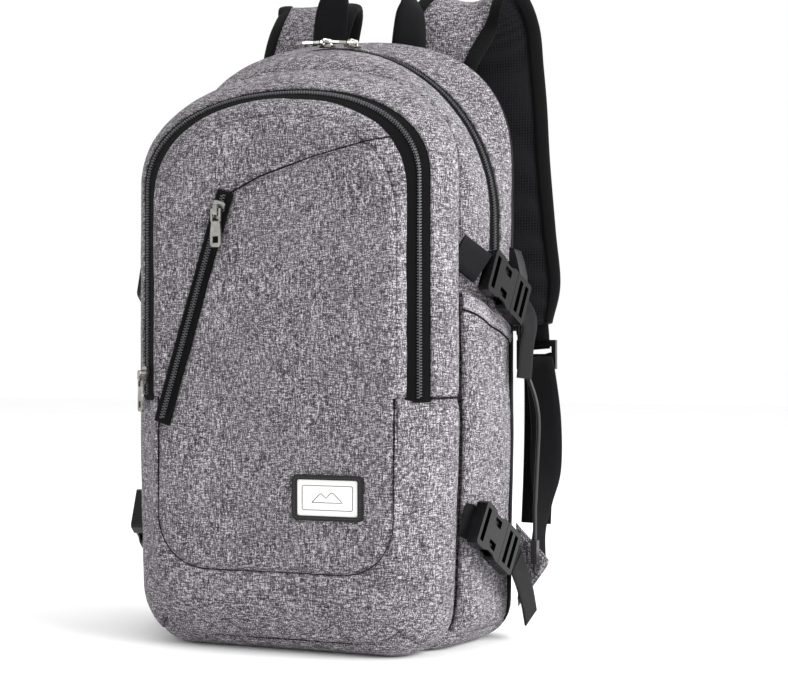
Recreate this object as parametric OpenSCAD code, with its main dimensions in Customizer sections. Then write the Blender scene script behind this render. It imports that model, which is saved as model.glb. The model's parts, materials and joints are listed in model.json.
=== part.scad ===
// Laptop backpack with a USB charging port on its side.
// Millimetres. +Z is up, the front faces -Y, the wearer is at +Y, and +X is the port side.
// The origin is the middle of the flat base.

/* [Bag] */
// Full width of the main compartment at its rear edge
bag_width = 291; // [280:1:302]
// Height of the main compartment
bag_height = 478; // [470:1:486]
// Thickness of the padded fabric walls
wall = 3; // [2.5:0.1:3.5]
// Height of the centre of the main zip's half circle
main_arch_height = 325; // [322:1:328]

/* [Pockets] */
// Height at which the front pocket's zip ends on each side
front_zip_end = 190; // [170:1:205]
// Height at which the main zip ends on each side
main_zip_end = 295; // [290:1:300]
// Half width of the stitched front panel
panel_half_width = 99; // [96:1:100]
// Lowest point of the stitched front panel
panel_low = 62; // [56:1:70]
// Gap between a side pocket's cloth and the side panel
pocket_gap = 8.5; // [8:0.1:9.5]
// Height of the side pocket's hem at its front end
hem_front = 268; // [255:1:272]
// Height of the side pocket's hem at its rear end
hem_rear = 243; // [232:1:246]

/* [Zips] */
// Width of a row of closed zip teeth
teeth_width = 5; // [4:0.1:6]
// Height of the teeth above the tape
teeth_height = 1.2; // [0.8:0.1:1.4]
// Width of the diagonal zip's tape
diagonal_tape_width = 13; // [11:0.5:14]
// Length of a pull tab
tab_length = 28; // [22:1:32]

/* [Straps] */
// Width of the compression straps and the lower shoulder webbing
webbing_width = 25; // [20:1:26]
// Thickness of webbing
webbing_thick = 1.6; // [1.4:0.1:2]
// Thickness of the shoulder pads
pad_thick = 9; // [7:0.5:10]

/* [Label] */
// Width of the label's frame
label_width = 55; // [45:1:60]
// Height of the label's frame
label_height = 33; // [28:1:36]

/* [Hidden] */
$fn = 48;
half = bag_width / 2;
zip_radius = half - 4.5;
zip_top = main_arch_height + zip_radius;
drop = bag_height - 478;
gap = 0.35;
tiny = 0.01;
big = 1000;

cloth = "#98939a";
dark = "#1b1b1e";
black_plastic = "#232327";
silver = "#c9c9c6";

// Sections of the bag, front to rear. Each one holds its depth, half width, how far the sides
// draw in at the base, lowest point, where the arch springs, top, arch exponent, corner radius.
SECTIONS = [
    [-77, half - 56, 0, 56, 300, 385 + drop, 2.3, 45],
    [-75.4, half - 49, 0, 40, 312, 394 + drop, 2.3, 48],
    [-69, half - 42.5, 0, 22, 340, 405 + drop, 2.25, 50],
    [-58, half - 28.5, 2, 7, 350, 420 + drop, 2.2, 46],
    [-46, half - 19.5, 6, 1, 354, 430 + drop, 2.2, 40],
    [-34, half - 16.5, 8, 0, 356, 437 + drop, 2.2, 36],
    [-22, half - 19, 6, 0, 358, 440 + drop, 2.2, 34],
    [-20, half - 22, 6, 0, 358, 437 + drop, 2.2, 34],
    [-18, half - 18.5, 6, 0, 356, 441 + drop, 2.2, 33],
    [-8, half - 11, 5, 0, 335, 452.5 + drop, 2.1, 31],
    [6, half - 6.5, 4, 0, 327, 461 + drop, 2.05, 30],
    [17, zip_radius, 3, 0, main_arch_height, zip_top, 2, 28],
    [33, zip_radius, 3, 0, main_arch_height, zip_top, 2, 27],
    [46, half - 1.5, 3, 0, 345, 473.5 + drop, 2.2, 26],
    [60, half, 3, 0, 368, bag_height, 2.5, 25],
    [68, half - 2, 3, 3, 366, bag_height - 2, 2.5, 25],
    [74, half - 7, 3, 9, 362, bag_height - 8, 2.5, 25],
    [76, half - 14, 3, 16, 358, bag_height - 15, 2.5, 25],
];
FACE_RIM = -75.4;
FRONT_EDGE = -69;
BASE_SEAM = -62;
GUSSET_EDGE = -58;
VALLEY = -20;
ZIP_FRONT = 17;
ZIP_REAR = 33;
ZIP_MID = 25;
REAR_EDGE = 60;
BACK = 76;
DRAW_IN_HEIGHT = 190;

CORNER_STEPS = 4;
SIDE_STEPS = 4;
ARCH_STEPS = 10;
SIDE_PATH_STEPS = 8;
BASE_CORNER = -50;

function mix(a, b, t) = a + (b - a) * t;
function section_at(y) =
    [for (i = [0:len(SECTIONS) - 2])
        if (SECTIONS[i][0] <= y + tiny && y - tiny <= SECTIONS[i + 1][0])
            mix(SECTIONS[i], SECTIONS[i + 1],
                (y - SECTIONS[i][0]) / (SECTIONS[i + 1][0] - SECTIONS[i][0]))][0];
function sections_between(y0, y1) = concat(
    [section_at(y0)],
    [for (s = SECTIONS) if (s[0] > y0 + tiny && s[0] < y1 - tiny) s],
    [section_at(y1)]);

// Right half of a section's outline, from the base corner over the arch, inset by an amount.
function half_outline(s, inset) =
    let (w = s[1] - inset, low = s[3] + inset, spring = s[4], top = s[5] - inset,
         n = s[6], r = max(s[7] - inset, 4))
    concat(
        [for (i = [0:CORNER_STEPS]) let (a = -90 + 90 * i / CORNER_STEPS)
            [w - r + r * cos(a), low + r + r * sin(a)]],
        [for (i = [1:SIDE_STEPS]) [w, mix(low + r, spring, i / SIDE_STEPS)]],
        [for (i = [1:ARCH_STEPS]) let (a = 90 * i / ARCH_STEPS)
            [w * pow(max(cos(a), 0), 2 / n), spring + (top - spring) * pow(sin(a), 2 / n)]]);
function drawn_in(p, s) =
    let (k = max(0, (DRAW_IN_HEIGHT - p[1]) / DRAW_IN_HEIGHT)) [p[0] - s[2] * k * k, p[1]];
function outline(s, inset) =
    let (right = [for (p = half_outline(s, inset)) drawn_in(p, s)], last = len(right) - 1)
    concat(right, [for (i = [last - 1:-1:0]) [-right[i][0], right[i][1]]]);
function ring_points(s, inset, y) = [for (p = outline(s, inset)) [p[0], y, p[1]]];

// Height-limited pieces of a section's outline, all running the same way round as it does.
function side_x(s, inset, z) =
    let (w = s[1] - inset, low = s[3] + inset, spring = s[4], top = s[5] - inset,
         n = s[6], r = max(s[7] - inset, 4))
    z < low + r ? w - r + sqrt(max(0, r * r - pow(low + r - z, 2)))
        : z < spring ? w : w * pow(max(0, 1 - pow((z - spring) / (top - spring), n)), 1 / n);
function side_point(s, inset, z) = drawn_in([side_x(s, inset, z), z], s);
function side_path(s, inset, z0, z1) =
    [for (i = [0:SIDE_PATH_STEPS]) side_point(s, inset, mix(z0, z1, i / SIDE_PATH_STEPS))];
function mirror_path(path) = [for (i = [len(path) - 1:-1:0]) [-path[i][0], path[i][1]]];
function arch_path(s, inset, z0) =
    let (whole = half_outline(s, inset), over = [for (i = [len(whole) - ARCH_STEPS:len(whole) - 1]) whole[i]],
         right = concat([for (i = [0:SIDE_STEPS]) side_point(s, inset, mix(z0, s[4], i / SIDE_STEPS))], over),
         last = len(right) - 1)
    concat(right, [for (i = [last - 1:-1:0]) [-right[i][0], right[i][1]]]);
function corner_path(s, inset, a0, a1) =
    let (r = max(s[7] - inset, 4))
    [for (i = [0:CORNER_STEPS]) let (a = mix(a0, a1, i / CORNER_STEPS))
        drawn_in([s[1] - inset - r + r * cos(a), s[3] + inset + r + r * sin(a)], s)];
function base_path(s, inset) =
    let (right = corner_path(s, inset, -90, BASE_CORNER)) concat(mirror_path(right), right);
function low_side_path(s, inset, z1) =
    concat(corner_path(s, inset, BASE_CORNER, 0),
        [for (i = [1:SIDE_STEPS]) let (z0 = s[3] + max(s[7], 4 + inset))
            side_point(s, inset, mix(z0, z1, i / SIDE_STEPS))]);
function low_loop_path(s, inset, z1) =
    let (right = concat(corner_path(s, inset, -90, 0),
        [for (i = [1:SIDE_STEPS]) let (z0 = s[3] + max(s[7], 4 + inset))
            side_point(s, inset, mix(z0, z1, i / SIDE_STEPS))]))
    concat(mirror_path(right), right);
function at_depth(path, y) = [for (p = path) [p[0], y, p[1]]];

function quad(a, b, c, d, flip) = flip ? [[a, d, c], [a, c, b]] : [[a, b, c], [a, c, d]];
// Faces of a skin that runs over closed rings of n points, front to rear.
function skin(first, rings, n, flip) =
    [for (i = [0:rings - 2]) for (j = [0:n - 1])
        let (a = first + i * n + j, b = first + i * n + (j + 1) % n)
        each quad(a, a + n, b + n, b, flip)];
function end_ring(outer, inner, n, flip) =
    [for (j = [0:n - 1]) let (k = (j + 1) % n)
        each quad(outer + j, outer + k, inner + k, inner + j, flip)];

// A sheet of wall between two grids of points: rows run front to rear.
module sheet(outer, inner) {
    m = len(outer);
    n = len(outer[0]);
    under = m * n;
    points = concat([for (row = outer) each row], [for (row = inner) each row]);
    polyhedron(points, concat(
        [for (i = [0:m - 2]) for (j = [0:n - 2]) let (a = i * n + j)
            each concat(quad(a, a + n, a + n + 1, a + 1, true),
                quad(under + a, under + a + n, under + a + n + 1, under + a + 1, false))],
        [for (j = [0:n - 2]) let (a = j, b = (m - 1) * n + j)
            each concat(quad(a, a + 1, under + a + 1, under + a, true),
                quad(b, b + 1, under + b + 1, under + b, false))],
        [for (i = [0:m - 2]) let (a = i * n, b = i * n + n - 1)
            each concat(quad(a + n, a, under + a, under + a + n, true),
                quad(b, b + n, under + b + n, under + b, true))]));
}
module arch_wall(y0, y1, outer, inner, z0) {
    list = sections_between(y0, y1);
    sheet([for (s = list) at_depth(arch_path(s, outer, z0), s[0])],
        [for (s = list) at_depth(arch_path(s, inner, z0), s[0])]);
}
// A piece of the +X side between two heights, each given at y0 and at y1.
module side_wall(y0, y1, outer, inner, low, high) {
    list = sections_between(y0, y1);
    function limit(z, y) = mix(z[0], z[1], (y - y0) / (y1 - y0));
    sheet([for (s = list) at_depth(side_path(s, outer, limit(low, s[0]), limit(high, s[0])), s[0])],
        [for (s = list) at_depth(side_path(s, inner, limit(low, s[0]), limit(high, s[0])), s[0])]);
}
module base_wall(y0, y1, outer, inner) {
    list = sections_between(y0, y1);
    sheet([for (s = list) at_depth(base_path(s, outer), s[0])],
        [for (s = list) at_depth(base_path(s, inner), s[0])]);
}
module low_side_wall(y0, y1, outer, inner, z1) {
    list = sections_between(y0, y1);
    sheet([for (s = list) at_depth(low_side_path(s, outer, z1), s[0])],
        [for (s = list) at_depth(low_side_path(s, inner, z1), s[0])]);
}
module low_loop_wall(y0, y1, outer, inner, z1) {
    list = sections_between(y0, y1);
    sheet([for (s = list) at_depth(low_loop_path(s, outer, z1), s[0])],
        [for (s = list) at_depth(low_loop_path(s, inner, z1), s[0])]);
}

// A tray that closes the rear of the bag.
module back_tray(y_rim, y_end, thick) {
    list = sections_between(y_rim, y_end);
    n = len(outline(list[0], 0));
    m = len(list);
    points = concat(
        [for (s = list) each ring_points(s, 0, s[0])],
        [for (s = list) each ring_points(s, thick,
            s[0] - thick * (s[0] - y_rim) / (y_end - y_rim))]);
    polyhedron(points, concat(
        skin(0, m, n, true), skin(m * n, m, n, false),
        [[for (j = [0:n - 1]) (m - 1) * n + j]],
        [[for (j = [n - 1:-1:0]) (2 * m - 1) * n + j]],
        end_ring(0, m * n, n, true)));
}

module along_y(y0, y1) translate([0, y1, 0]) rotate([90, 0, 0]) linear_extrude(y1 - y0) children();
module left_copy() mirror([1, 0, 0]) children();

// ---------------------------------------------------------------- front panels

PANEL_CORNER = 42;
DIAGONAL_TOP = [-38, 342];
DIAGONAL_END = [-91, 170];
CROSS_SEAM_END = [104, 380];
diagonal_span = DIAGONAL_END - DIAGONAL_TOP;
diagonal_length = norm(diagonal_span);
diagonal_lean = atan2(-diagonal_span[0], -diagonal_span[1]);
panel_face = SECTIONS[0][0];

// Everything inside the stitched outline of the front panel.
module panel_region() {
    translate([-big / 2, front_zip_end]) square(big);
    translate([-panel_half_width, panel_low + PANEL_CORNER])
        square([2 * panel_half_width, front_zip_end - panel_low - PANEL_CORNER + tiny]);
    translate([-panel_half_width + PANEL_CORNER, panel_low])
        square([2 * (panel_half_width - PANEL_CORNER), PANEL_CORNER + tiny]);
    for (s = [-1, 1]) translate([s * (panel_half_width - PANEL_CORNER), panel_low + PANEL_CORNER])
        circle(PANEL_CORNER);
}

// Right of the diagonal zip and under the seam that crosses the panel.
module main_piece_region() polygon([
    DIAGONAL_TOP, CROSS_SEAM_END, [200, 390], [200, 0], [-200, 0],
    [DIAGONAL_END[0] - 60, DIAGONAL_END[1] - 1], DIAGONAL_END]);

module diagonal_frame() translate([DIAGONAL_TOP[0], 0, DIAGONAL_TOP[1]])
    rotate([0, diagonal_lean, 0]) children();
module diagonal_slot_region() translate(DIAGONAL_TOP) rotate(-diagonal_lean)
    translate([-diagonal_tape_width / 2, -diagonal_length]) square([diagonal_tape_width, diagonal_length]);

SEAM_GAP = 0.2;
module front_face_region() polygon(outline(section_at(FACE_RIM), wall + 0.1));
module face_plate() along_y(panel_face, panel_face + wall) difference() {
    intersection() { front_face_region(); children(); }
    diagonal_slot_region();
}
module front_panel_main() color(cloth) face_plate() intersection() {
    panel_region();
    main_piece_region();
}
module front_panel_upper() color(cloth) face_plate() difference() {
    panel_region();
    main_piece_region();
}
module front_lower_panel() color(cloth) {
    face_plate() difference() {
        translate([-big / 2, 0]) square([big, front_zip_end]);
        panel_region();
    }
    low_loop_wall(FACE_RIM, BASE_SEAM, 0, wall, front_zip_end);
    low_side_wall(BASE_SEAM + SEAM_GAP, VALLEY, 0, wall, front_zip_end);
    left_copy() low_side_wall(BASE_SEAM + SEAM_GAP, VALLEY, 0, wall, front_zip_end);
}
module front_gusset() color(cloth) arch_wall(GUSSET_EDGE, VALLEY, 0, wall, front_zip_end);
module middle_wall() color(dark) along_y(VALLEY + 1, VALLEY + 3)
    polygon(outline(section_at(VALLEY), side_inset + 2.8));

// ---------------------------------------------------------------- main compartment

side_inset = pocket_gap + 2;
LEDGE = 9;
PANEL_LOW = 25;
module mid_gusset() color(cloth) arch_wall(VALLEY, ZIP_FRONT, 0, wall, main_zip_end);
module rear_gusset() color(cloth) arch_wall(ZIP_REAR, REAR_EDGE, 0, wall, main_zip_end);
module side_panel() color(cloth) {
    side_wall(VALLEY, REAR_EDGE, side_inset, side_inset + 2.5,
        repeat(PANEL_LOW, 2), repeat(main_zip_end - LEDGE, 2));
    side_wall(VALLEY, REAR_EDGE, 0, side_inset + 2.5,
        repeat(main_zip_end - LEDGE, 2), repeat(main_zip_end, 2));
}
module side_panel_right() side_panel();
module side_panel_left() left_copy() side_panel();
module base_panel() color(cloth) base_wall(BASE_SEAM, REAR_EDGE, 0, wall);
module back_panel() color(dark) back_tray(REAR_EDGE, BACK, wall);

PAD_WIDTH = 88;
PAD_RISE = 7;
module back_pads() color(dark) for (s = [-1, 1])
    translate([s * 62 - PAD_WIDTH / 2, 0, 60]) along_y(BACK, BACK + PAD_RISE) rounded([PAD_WIDTH, 340], 26);

module rounded(size, r) {
    translate([r, 0]) square([size[0] - 2 * r, size[1]]);
    translate([0, r]) square([size[0], size[1] - 2 * r]);
    for (x = [r, size[0] - r]) for (z = [r, size[1] - r]) translate([x, z]) circle(r);
}

module laptop_divider() color(dark) along_y(44, 49)
    polygon([for (p = outline(section_at(46), side_inset + 4)) [p[0], min(p[1], 330)]]);

// ---------------------------------------------------------------- side pockets

SIDE_LOW = 12;
pocket_front = VALLEY + 2;
pocket_rear = REAR_EDGE - 1;
HEM = 13;
function hem_at(y) = mix(hem_front, hem_rear, (y - pocket_front) / (pocket_rear - pocket_front));

pocket_floor = SIDE_LOW + 14;
function hems(y0, y1, below_hem) = [hem_at(y0) - below_hem, hem_at(y1) - below_hem];
// Cloth, ends and floor of a pocket in one skin: its ends and its floor reach in to the side panel.
POCKET_END = 3;
module side_pocket() {
    ys = concat([pocket_front, pocket_front + POCKET_END - 0.1],
        [for (s = sections_between(pocket_front + POCKET_END, pocket_rear - POCKET_END)) s[0]],
        [pocket_rear - POCKET_END + 0.1, pocket_rear]);
    last = len(ys) - 1;
    function heights(y) = concat([SIDE_LOW, pocket_floor - 0.1],
        [for (i = [0:SIDE_PATH_STEPS]) mix(pocket_floor, hem_at(y), i / SIDE_PATH_STEPS)]);
    function reach(i, j) = i < 2 || i > last - 2 || j < 2 ? side_inset : 2;
    function row(i, inner) = let (y = ys[i], s = section_at(y), zs = heights(y))
        at_depth([for (j = [0:len(zs) - 1]) side_point(s, inner ? reach(i, j) : 0, zs[j])], y);
    color(cloth) sheet([for (i = [0:last]) row(i, false)], [for (i = [0:last]) row(i, true)]);
}
module side_pocket_right() side_pocket();
module side_pocket_left() left_copy() side_pocket();
hem_end = pocket_rear - 3.4;
module pocket_hem() color(cloth)
    side_wall(pocket_front, hem_end, -1, 0,
        hems(pocket_front, hem_end, HEM), hems(pocket_front, hem_end, 0));
module pocket_hem_right() pocket_hem();
module pocket_hem_left() left_copy() pocket_hem();

// ---------------------------------------------------------------- zips

module front_zip_tape() color(dark) arch_wall(FACE_RIM, GUSSET_EDGE, 0, wall, front_zip_end);
front_zip_mid = (FRONT_EDGE + GUSSET_EDGE) / 2;
band_angle = atan2(GUSSET_EDGE - FRONT_EDGE, SECTIONS[3][1] - SECTIONS[2][1]);
teeth_half_depth = teeth_width / 2 * sin(band_angle);
module front_zip_teeth() color(dark)
    arch_wall(front_zip_mid - teeth_half_depth, front_zip_mid + teeth_half_depth,
        -teeth_height / sin(band_angle), 0, front_zip_end + 2);

module main_zip_ring(outer, inner, y0, y1, end) along_y(y0, y1) {
    difference() {
        union() {
            translate([0, main_arch_height]) circle(outer);
            translate([-outer, end]) square([2 * outer, main_arch_height - end]);
        }
        translate([0, main_arch_height]) circle(inner);
        translate([-inner, 0]) square([2 * inner, main_arch_height]);
        translate([-big / 2, end - big]) square(big);
    }
}
module main_zip_tape() color(dark)
    main_zip_ring(zip_radius, zip_radius - wall, ZIP_FRONT, ZIP_REAR, main_zip_end, $fn = 120);
module main_zip_teeth() color(dark)
    main_zip_ring(zip_radius + teeth_height, zip_radius,
        ZIP_MID - teeth_width / 2, ZIP_MID + teeth_width / 2, main_zip_end + 2, $fn = 120);

tape_face = panel_face - 0.6;
module diagonal_zip_tape() color(dark) diagonal_frame()
    translate([-diagonal_tape_width / 2, tape_face, -diagonal_length])
        cube([diagonal_tape_width, 3, diagonal_length]);
module diagonal_zip_teeth() color(dark) diagonal_frame()
    translate([-teeth_width / 2, tape_face - teeth_height, -diagonal_length + 3])
        cube([teeth_width, teeth_height, diagonal_length - 6]);

// A slider lies along Z with its base at y = 0 and stands out towards -Y.
SLIDER_LENGTH = 13;
SLIDER_WIDTH = 9.6;
SLIDER_PLATE = 1.2;
BRIDGE = 3.4;
BRIDGE_RISE = 4.9;
BRIDGE_SLOT = 3.9;
PIN = 0.9;
PIN_LIFT = 2.6;
slider_low = teeth_height + gap;
plate_top = slider_low + SLIDER_PLATE;
pin_height = plate_top + PIN_LIFT;
module slider_plate() {
    translate([0, -slider_low, 0]) rotate([90, 0, 0]) linear_extrude(SLIDER_PLATE) polygon([
        [-SLIDER_WIDTH / 2, SLIDER_LENGTH / 2 - 1], [-SLIDER_WIDTH / 2 + 1.5, SLIDER_LENGTH / 2],
        [SLIDER_WIDTH / 2 - 1.5, SLIDER_LENGTH / 2], [SLIDER_WIDTH / 2, SLIDER_LENGTH / 2 - 1],
        [SLIDER_WIDTH / 2 - 0.6, -2], [SLIDER_WIDTH / 2 - 2.2, -SLIDER_LENGTH / 2],
        [-SLIDER_WIDTH / 2 + 2.2, -SLIDER_LENGTH / 2], [-SLIDER_WIDTH / 2 + 0.6, -2]]);
    for (s = [-1, 1]) translate([s * (SLIDER_WIDTH / 2 - 0.6) - 0.6, -slider_low - 0.2, 0])
        cube([1.2, slider_low + 0.2 - gap, SLIDER_LENGTH / 2 - 1]);
}
// The arch that the pull's pin passes under.
module bridge() translate([-BRIDGE / 2, 0, 0]) rotate([90, 0, 90]) linear_extrude(BRIDGE)
    difference() {
        polygon([[-plate_top + 0.2, -4.6], [-plate_top - BRIDGE_RISE + 0.6, -4.2],
            [-plate_top - BRIDGE_RISE, -3], [-plate_top - BRIDGE_RISE, 2.4],
            [-plate_top - BRIDGE_RISE + 0.6, 3.6], [-plate_top + 0.2, 4.2]]);
        translate([-plate_top - BRIDGE_SLOT, -3]) square([BRIDGE_SLOT, 5.6]);
    }
module slider(turn = 0) color(silver) {
    slider_plate();
    rotate([0, turn, 0]) bridge();
}

// A pull hangs from the slider's bridge: pin, stirrup and a tab with a square window.
TAB_WIDTH = 8.5;
TAB_THICK = 1.8;
STIRRUP = 9;
module pull() color(silver) {
    translate([0, -pin_height, 0]) {
        rotate([0, 90, 0]) cylinder(h = BRIDGE + 4.8, r = PIN, center = true);
        for (s = [-1, 1]) translate([s * (BRIDGE / 2 + 1.6) - 0.8, -PIN, -STIRRUP])
            cube([1.6, 2 * PIN, STIRRUP]);
        translate([0, TAB_THICK / 2, -STIRRUP + tiny]) rotate([90, 0, 0]) linear_extrude(TAB_THICK)
            difference() {
                polygon([
                    [-3.4, 0], [3.4, 0], [TAB_WIDTH / 2, -8], [TAB_WIDTH / 2, -tab_length + STIRRUP + 1.5],
                    [TAB_WIDTH / 2 - 1.5, -tab_length + STIRRUP],
                    [-TAB_WIDTH / 2 + 1.5, -tab_length + STIRRUP],
                    [-TAB_WIDTH / 2, -tab_length + STIRRUP + 1.5], [-TAB_WIDTH / 2, -8]]);
                translate([-2.3, -tab_length + STIRRUP + 3]) square([4.6, 5]);
            }
    }
}

// Diagonal zip
DIAGONAL_START = 14;
module diagonal_slider_frame() diagonal_frame() translate([0, tape_face, -DIAGONAL_START]) children();
module diagonal_zip_slider() diagonal_slider_frame() slider(-diagonal_lean);
module diagonal_zip_pull() diagonal_slider_frame() rotate([0, -diagonal_lean, 0]) pull();

// Front pocket zip, on the left leg of its arch
FRONT_SLIDER_Z = 206;
front_band_x = -(SECTIONS[2][1] + SECTIONS[3][1]) / 2;
FRONT_SLIDER_SHIFT = 0.55;
module front_slider_frame() translate([front_band_x, front_zip_mid, FRONT_SLIDER_Z])
    rotate([0, 0, -band_angle]) translate([-FRONT_SLIDER_SHIFT, 0, 0]) children();
module front_zip_slider() front_slider_frame() slider();
module front_zip_pull() front_slider_frame() pull();

// Main zip: two sliders near the top of the arch, their pulls lying forward
LEFT_START = 0.5;
RIGHT_START = 9.5;
PULL_SLOPE = 11;
PULL_YAW = 32;
module main_slider_frame(angle) translate([0, ZIP_MID, main_arch_height]) rotate([0, angle, 0])
    translate([0, 0, zip_radius + 0.15]) rotate([-90, 0, 0]) children();
module main_slider(angle, side) main_slider_frame(angle)
    rotate([0, side * 90, 0]) slider(PULL_YAW - side * 90);
module main_pull(angle) main_slider_frame(angle) rotate([0, PULL_YAW, 0])
    translate([0, -pin_height, 0]) rotate([PULL_SLOPE, 0, 0]) translate([0, pin_height, 0]) pull();
module main_zip_slider_left() main_slider(LEFT_START, 1);
module main_zip_slider_right() main_slider(RIGHT_START, -1);
module main_zip_pull_left() main_pull(LEFT_START);
module main_zip_pull_right() main_pull(RIGHT_START);

// ---------------------------------------------------------------- label

LABEL_CENTRE = [45, 118];
FRAME_THICK = 2.4;
module label_frame() color(dark) along_y(panel_face - FRAME_THICK, panel_face)
    translate([LABEL_CENTRE[0] - label_width / 2, LABEL_CENTRE[1] - label_height / 2])
        difference() {
            rounded([label_width, label_height], 4);
            translate([4, 3.5]) rounded([label_width - 8, label_height - 7], 1.5);
        }
module label_plate() color("white") along_y(panel_face - 1.4, panel_face)
    translate([LABEL_CENTRE[0] - label_width / 2 + 4, LABEL_CENTRE[1] - label_height / 2 + 3.5])
        rounded([label_width - 8, label_height - 7], 1.5);

// ---------------------------------------------------------------- swept straps

function unit(v) = v / norm(v);
function tangent(path, i) =
    unit(path[min(i + 1, len(path) - 1)] - path[max(i - 1, 0)]);

// A flat strap along a path. Each width entry gives the strap's half width there, and each
// across entry the direction of its width.
module strap(path, half_widths, across, thick) {
    m = len(path);
    points = [for (i = [0:m - 1])
        let (t = tangent(path, i), a = unit(across[i] - t * (across[i] * t)),
             b = cross(t, a) * thick / 2, w = a * half_widths[i])
        each [path[i] - w - b, path[i] + w - b, path[i] + w + b, path[i] - w + b]];
    polyhedron(points, concat(
        [[0, 1, 2, 3]],
        [for (i = [0:m - 2]) for (j = [0:3]) let (k = (j + 1) % 4, a = i * 4 + j, b = i * 4 + k)
            each (j < 2 ? quad(a, a + 4, b + 4, b, false) : quad(a + 4, b + 4, b, a, false))],
        [[4 * m - 1, 4 * m - 2, 4 * m - 3, 4 * m - 4]]));
}
function repeat(value, n) = [for (i = [1:n]) value];

// ---------------------------------------------------------------- shoulder straps

RIGHT_PAD = [
    [66, 88, 420], [70, 88, 448], [76, 90, 474], [86, 95, 496], [97, 106, 510], [106, 121, 508],
    [112, 133, 490], [115, 138, 462], [118, 138, 427], [122, 136, 380], [130, 132, 320], [139, 128, 275],
    [145, 124, 245]];
RIGHT_ACROSS = [
    [1, 0, 0], [1, 0, 0], [1, 0.05, -0.1], [1, 0.15, -0.1], [1, 0.2, 0.05], [1, 0.15, 0.15],
    [1, 0.05, 0.1], [1, 0, 0.05], [1, 0, 0], [1, 0, 0], [1, 0, 0.1], [1, 0, 0.1], [1, 0, 0.1]];
LEFT_PAD = [
    [-58, 88, 420], [-54, 88, 448], [-48, 90, 476], [-42, 95, 500], [-40, 106, 517], [-44, 121, 518],
    [-52, 133, 498], [-62, 138, 464], [-74, 138, 427], [-88, 136, 380], [-104, 132, 320], [-116, 128, 275],
    [-122, 124, 245]];
PAD_HALF = [30, 33, 36, 37, 37, 37, 37, 36, 36, 35, 33, 30, 25];
function mirrored(v) = [-v[0], v[1], v[2]];

module shoulder_pad_right() color(cloth)
    strap(RIGHT_PAD, PAD_HALF, RIGHT_ACROSS, pad_thick);
module shoulder_pad_left() color(cloth)
    strap(LEFT_PAD, PAD_HALF, repeat([1, 0, 0], len(LEFT_PAD)), pad_thick);
module pad_anchor(x) translate([x - 32, BACK + gap / 2, 405]) cube([64, 88 - pad_thick / 2 - BACK - gap, 22]);
module strap_anchors() color(dark) { pad_anchor(66); pad_anchor(-58); }

LOCK_LENGTH = 24;
module ladder_lock() color(black_plastic) difference() {
    translate([-16.5, -3, -LOCK_LENGTH / 2]) cube([33, 6, LOCK_LENGTH]);
    for (z = [-8, 0.5]) translate([-13, -5, z]) cube([26, 10, 6]);
}
RIGHT_LOCK = [149, 122, 222];
LEFT_LOCK = [-126, 122, 222];
module ladder_lock_right() translate(RIGHT_LOCK) ladder_lock();
module ladder_lock_left() translate(LEFT_LOCK) ladder_lock();

RIGHT_WEB = [
    [150, 117, 234], [155, 112, 210], [160, 108, 170], [161, 104, 130], [160, 98, 105], [159, 90, 80],
    [160, 80, 60]];
WEB_ACROSS = [
    [1, 0, 0], [1, 0, 0], [1, 0.1, 0], [1, 0.3, 0], [0.7, 0.6, 0.2], [0.4, 0.8, 0.3],
    [0.6, 0.6, -0.6]];
WEB_HALF = [12.5, 12.5, 12.5, 12.5, 9, 7, 9];
RIGHT_TAIL = [[148, 128, 234], [153, 127, 206], [158, 118, 165], [160, 113, 120], [160, 111, 86]];
module shoulder_webbing_right() color(dark) {
    strap(RIGHT_WEB, WEB_HALF, WEB_ACROSS, webbing_thick);
    strap(RIGHT_TAIL, repeat(webbing_width / 2, 5), repeat([1, 0, 0], 5), webbing_thick);
}
LEFT_WEB = [
    [-127, 117, 234], [-132, 112, 210], [-144, 108, 170], [-152, 104, 130], [-156, 98, 105],
    [-159, 90, 80], [-160, 80, 60]];
LEFT_TAIL = [[-125, 128, 234], [-129, 127, 206], [-136, 118, 165], [-139, 113, 120], [-140, 111, 86]];
module shoulder_webbing_left() color(dark) {
    strap(LEFT_WEB, WEB_HALF, [for (a = WEB_ACROSS) [a[0], -a[1], -a[2]]], webbing_thick);
    strap(LEFT_TAIL, repeat(webbing_width / 2, 5), repeat([1, 0, 0], 5), webbing_thick);
}

// A triangular tab sewn into each lower rear corner.
module corner_tab() color(cloth) translate([0, 73, 0]) rotate([90, 0, 0]) linear_extrude(3)
    polygon([[144.5, 88], [171, 60], [170, 55], [146, 22]]);
module corner_tab_right() corner_tab();
module corner_tab_left() left_copy() corner_tab();

// ---------------------------------------------------------------- haul loop

LOOP = [
    [-14, 68, 479], [-13, 68, 494], [-10, 68, 512], [-3, 68, 526], [8, 68, 534], [22, 68, 537],
    [37, 68, 534], [49, 68, 526], [56, 68, 512], [57, 68, 496], [55, 68, 479]];
LOOP_ACROSS = [
    [1, 0, 0], [1, 0.1, 0], [1, 0.35, 0], [0.5, 0.8, 0.5], [0.2, 1, 0.1], [0, 1, 0],
    [0, 1, 0], [0, 1, 0], [0.3, 1, 0], [1, 0.6, 0], [1, 0, 0]];
LOOP_HALF = [15, 14.5, 12.5, 10, 8.5, 8, 8, 8.5, 9.5, 12.5, 15];
module haul_loop() color(dark) strap(LOOP, LOOP_HALF, LOOP_ACROSS, 2.6);

// ---------------------------------------------------------------- compression straps

// Buckle frame: +Y runs rearward along the strap, +X outward, +Z across the strap.
TOP_BUCKLE = [151, 18, 272];
BOTTOM_BUCKLE = [147, 2, 84];
TOP_DIP = -27;
BOTTOM_DIP = -32;
BUCKLE_YAW = -14;
module buckle_frame(at, dip) translate(at) rotate([0, 0, BUCKLE_YAW]) rotate([dip, 0, 0]) children();

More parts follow.
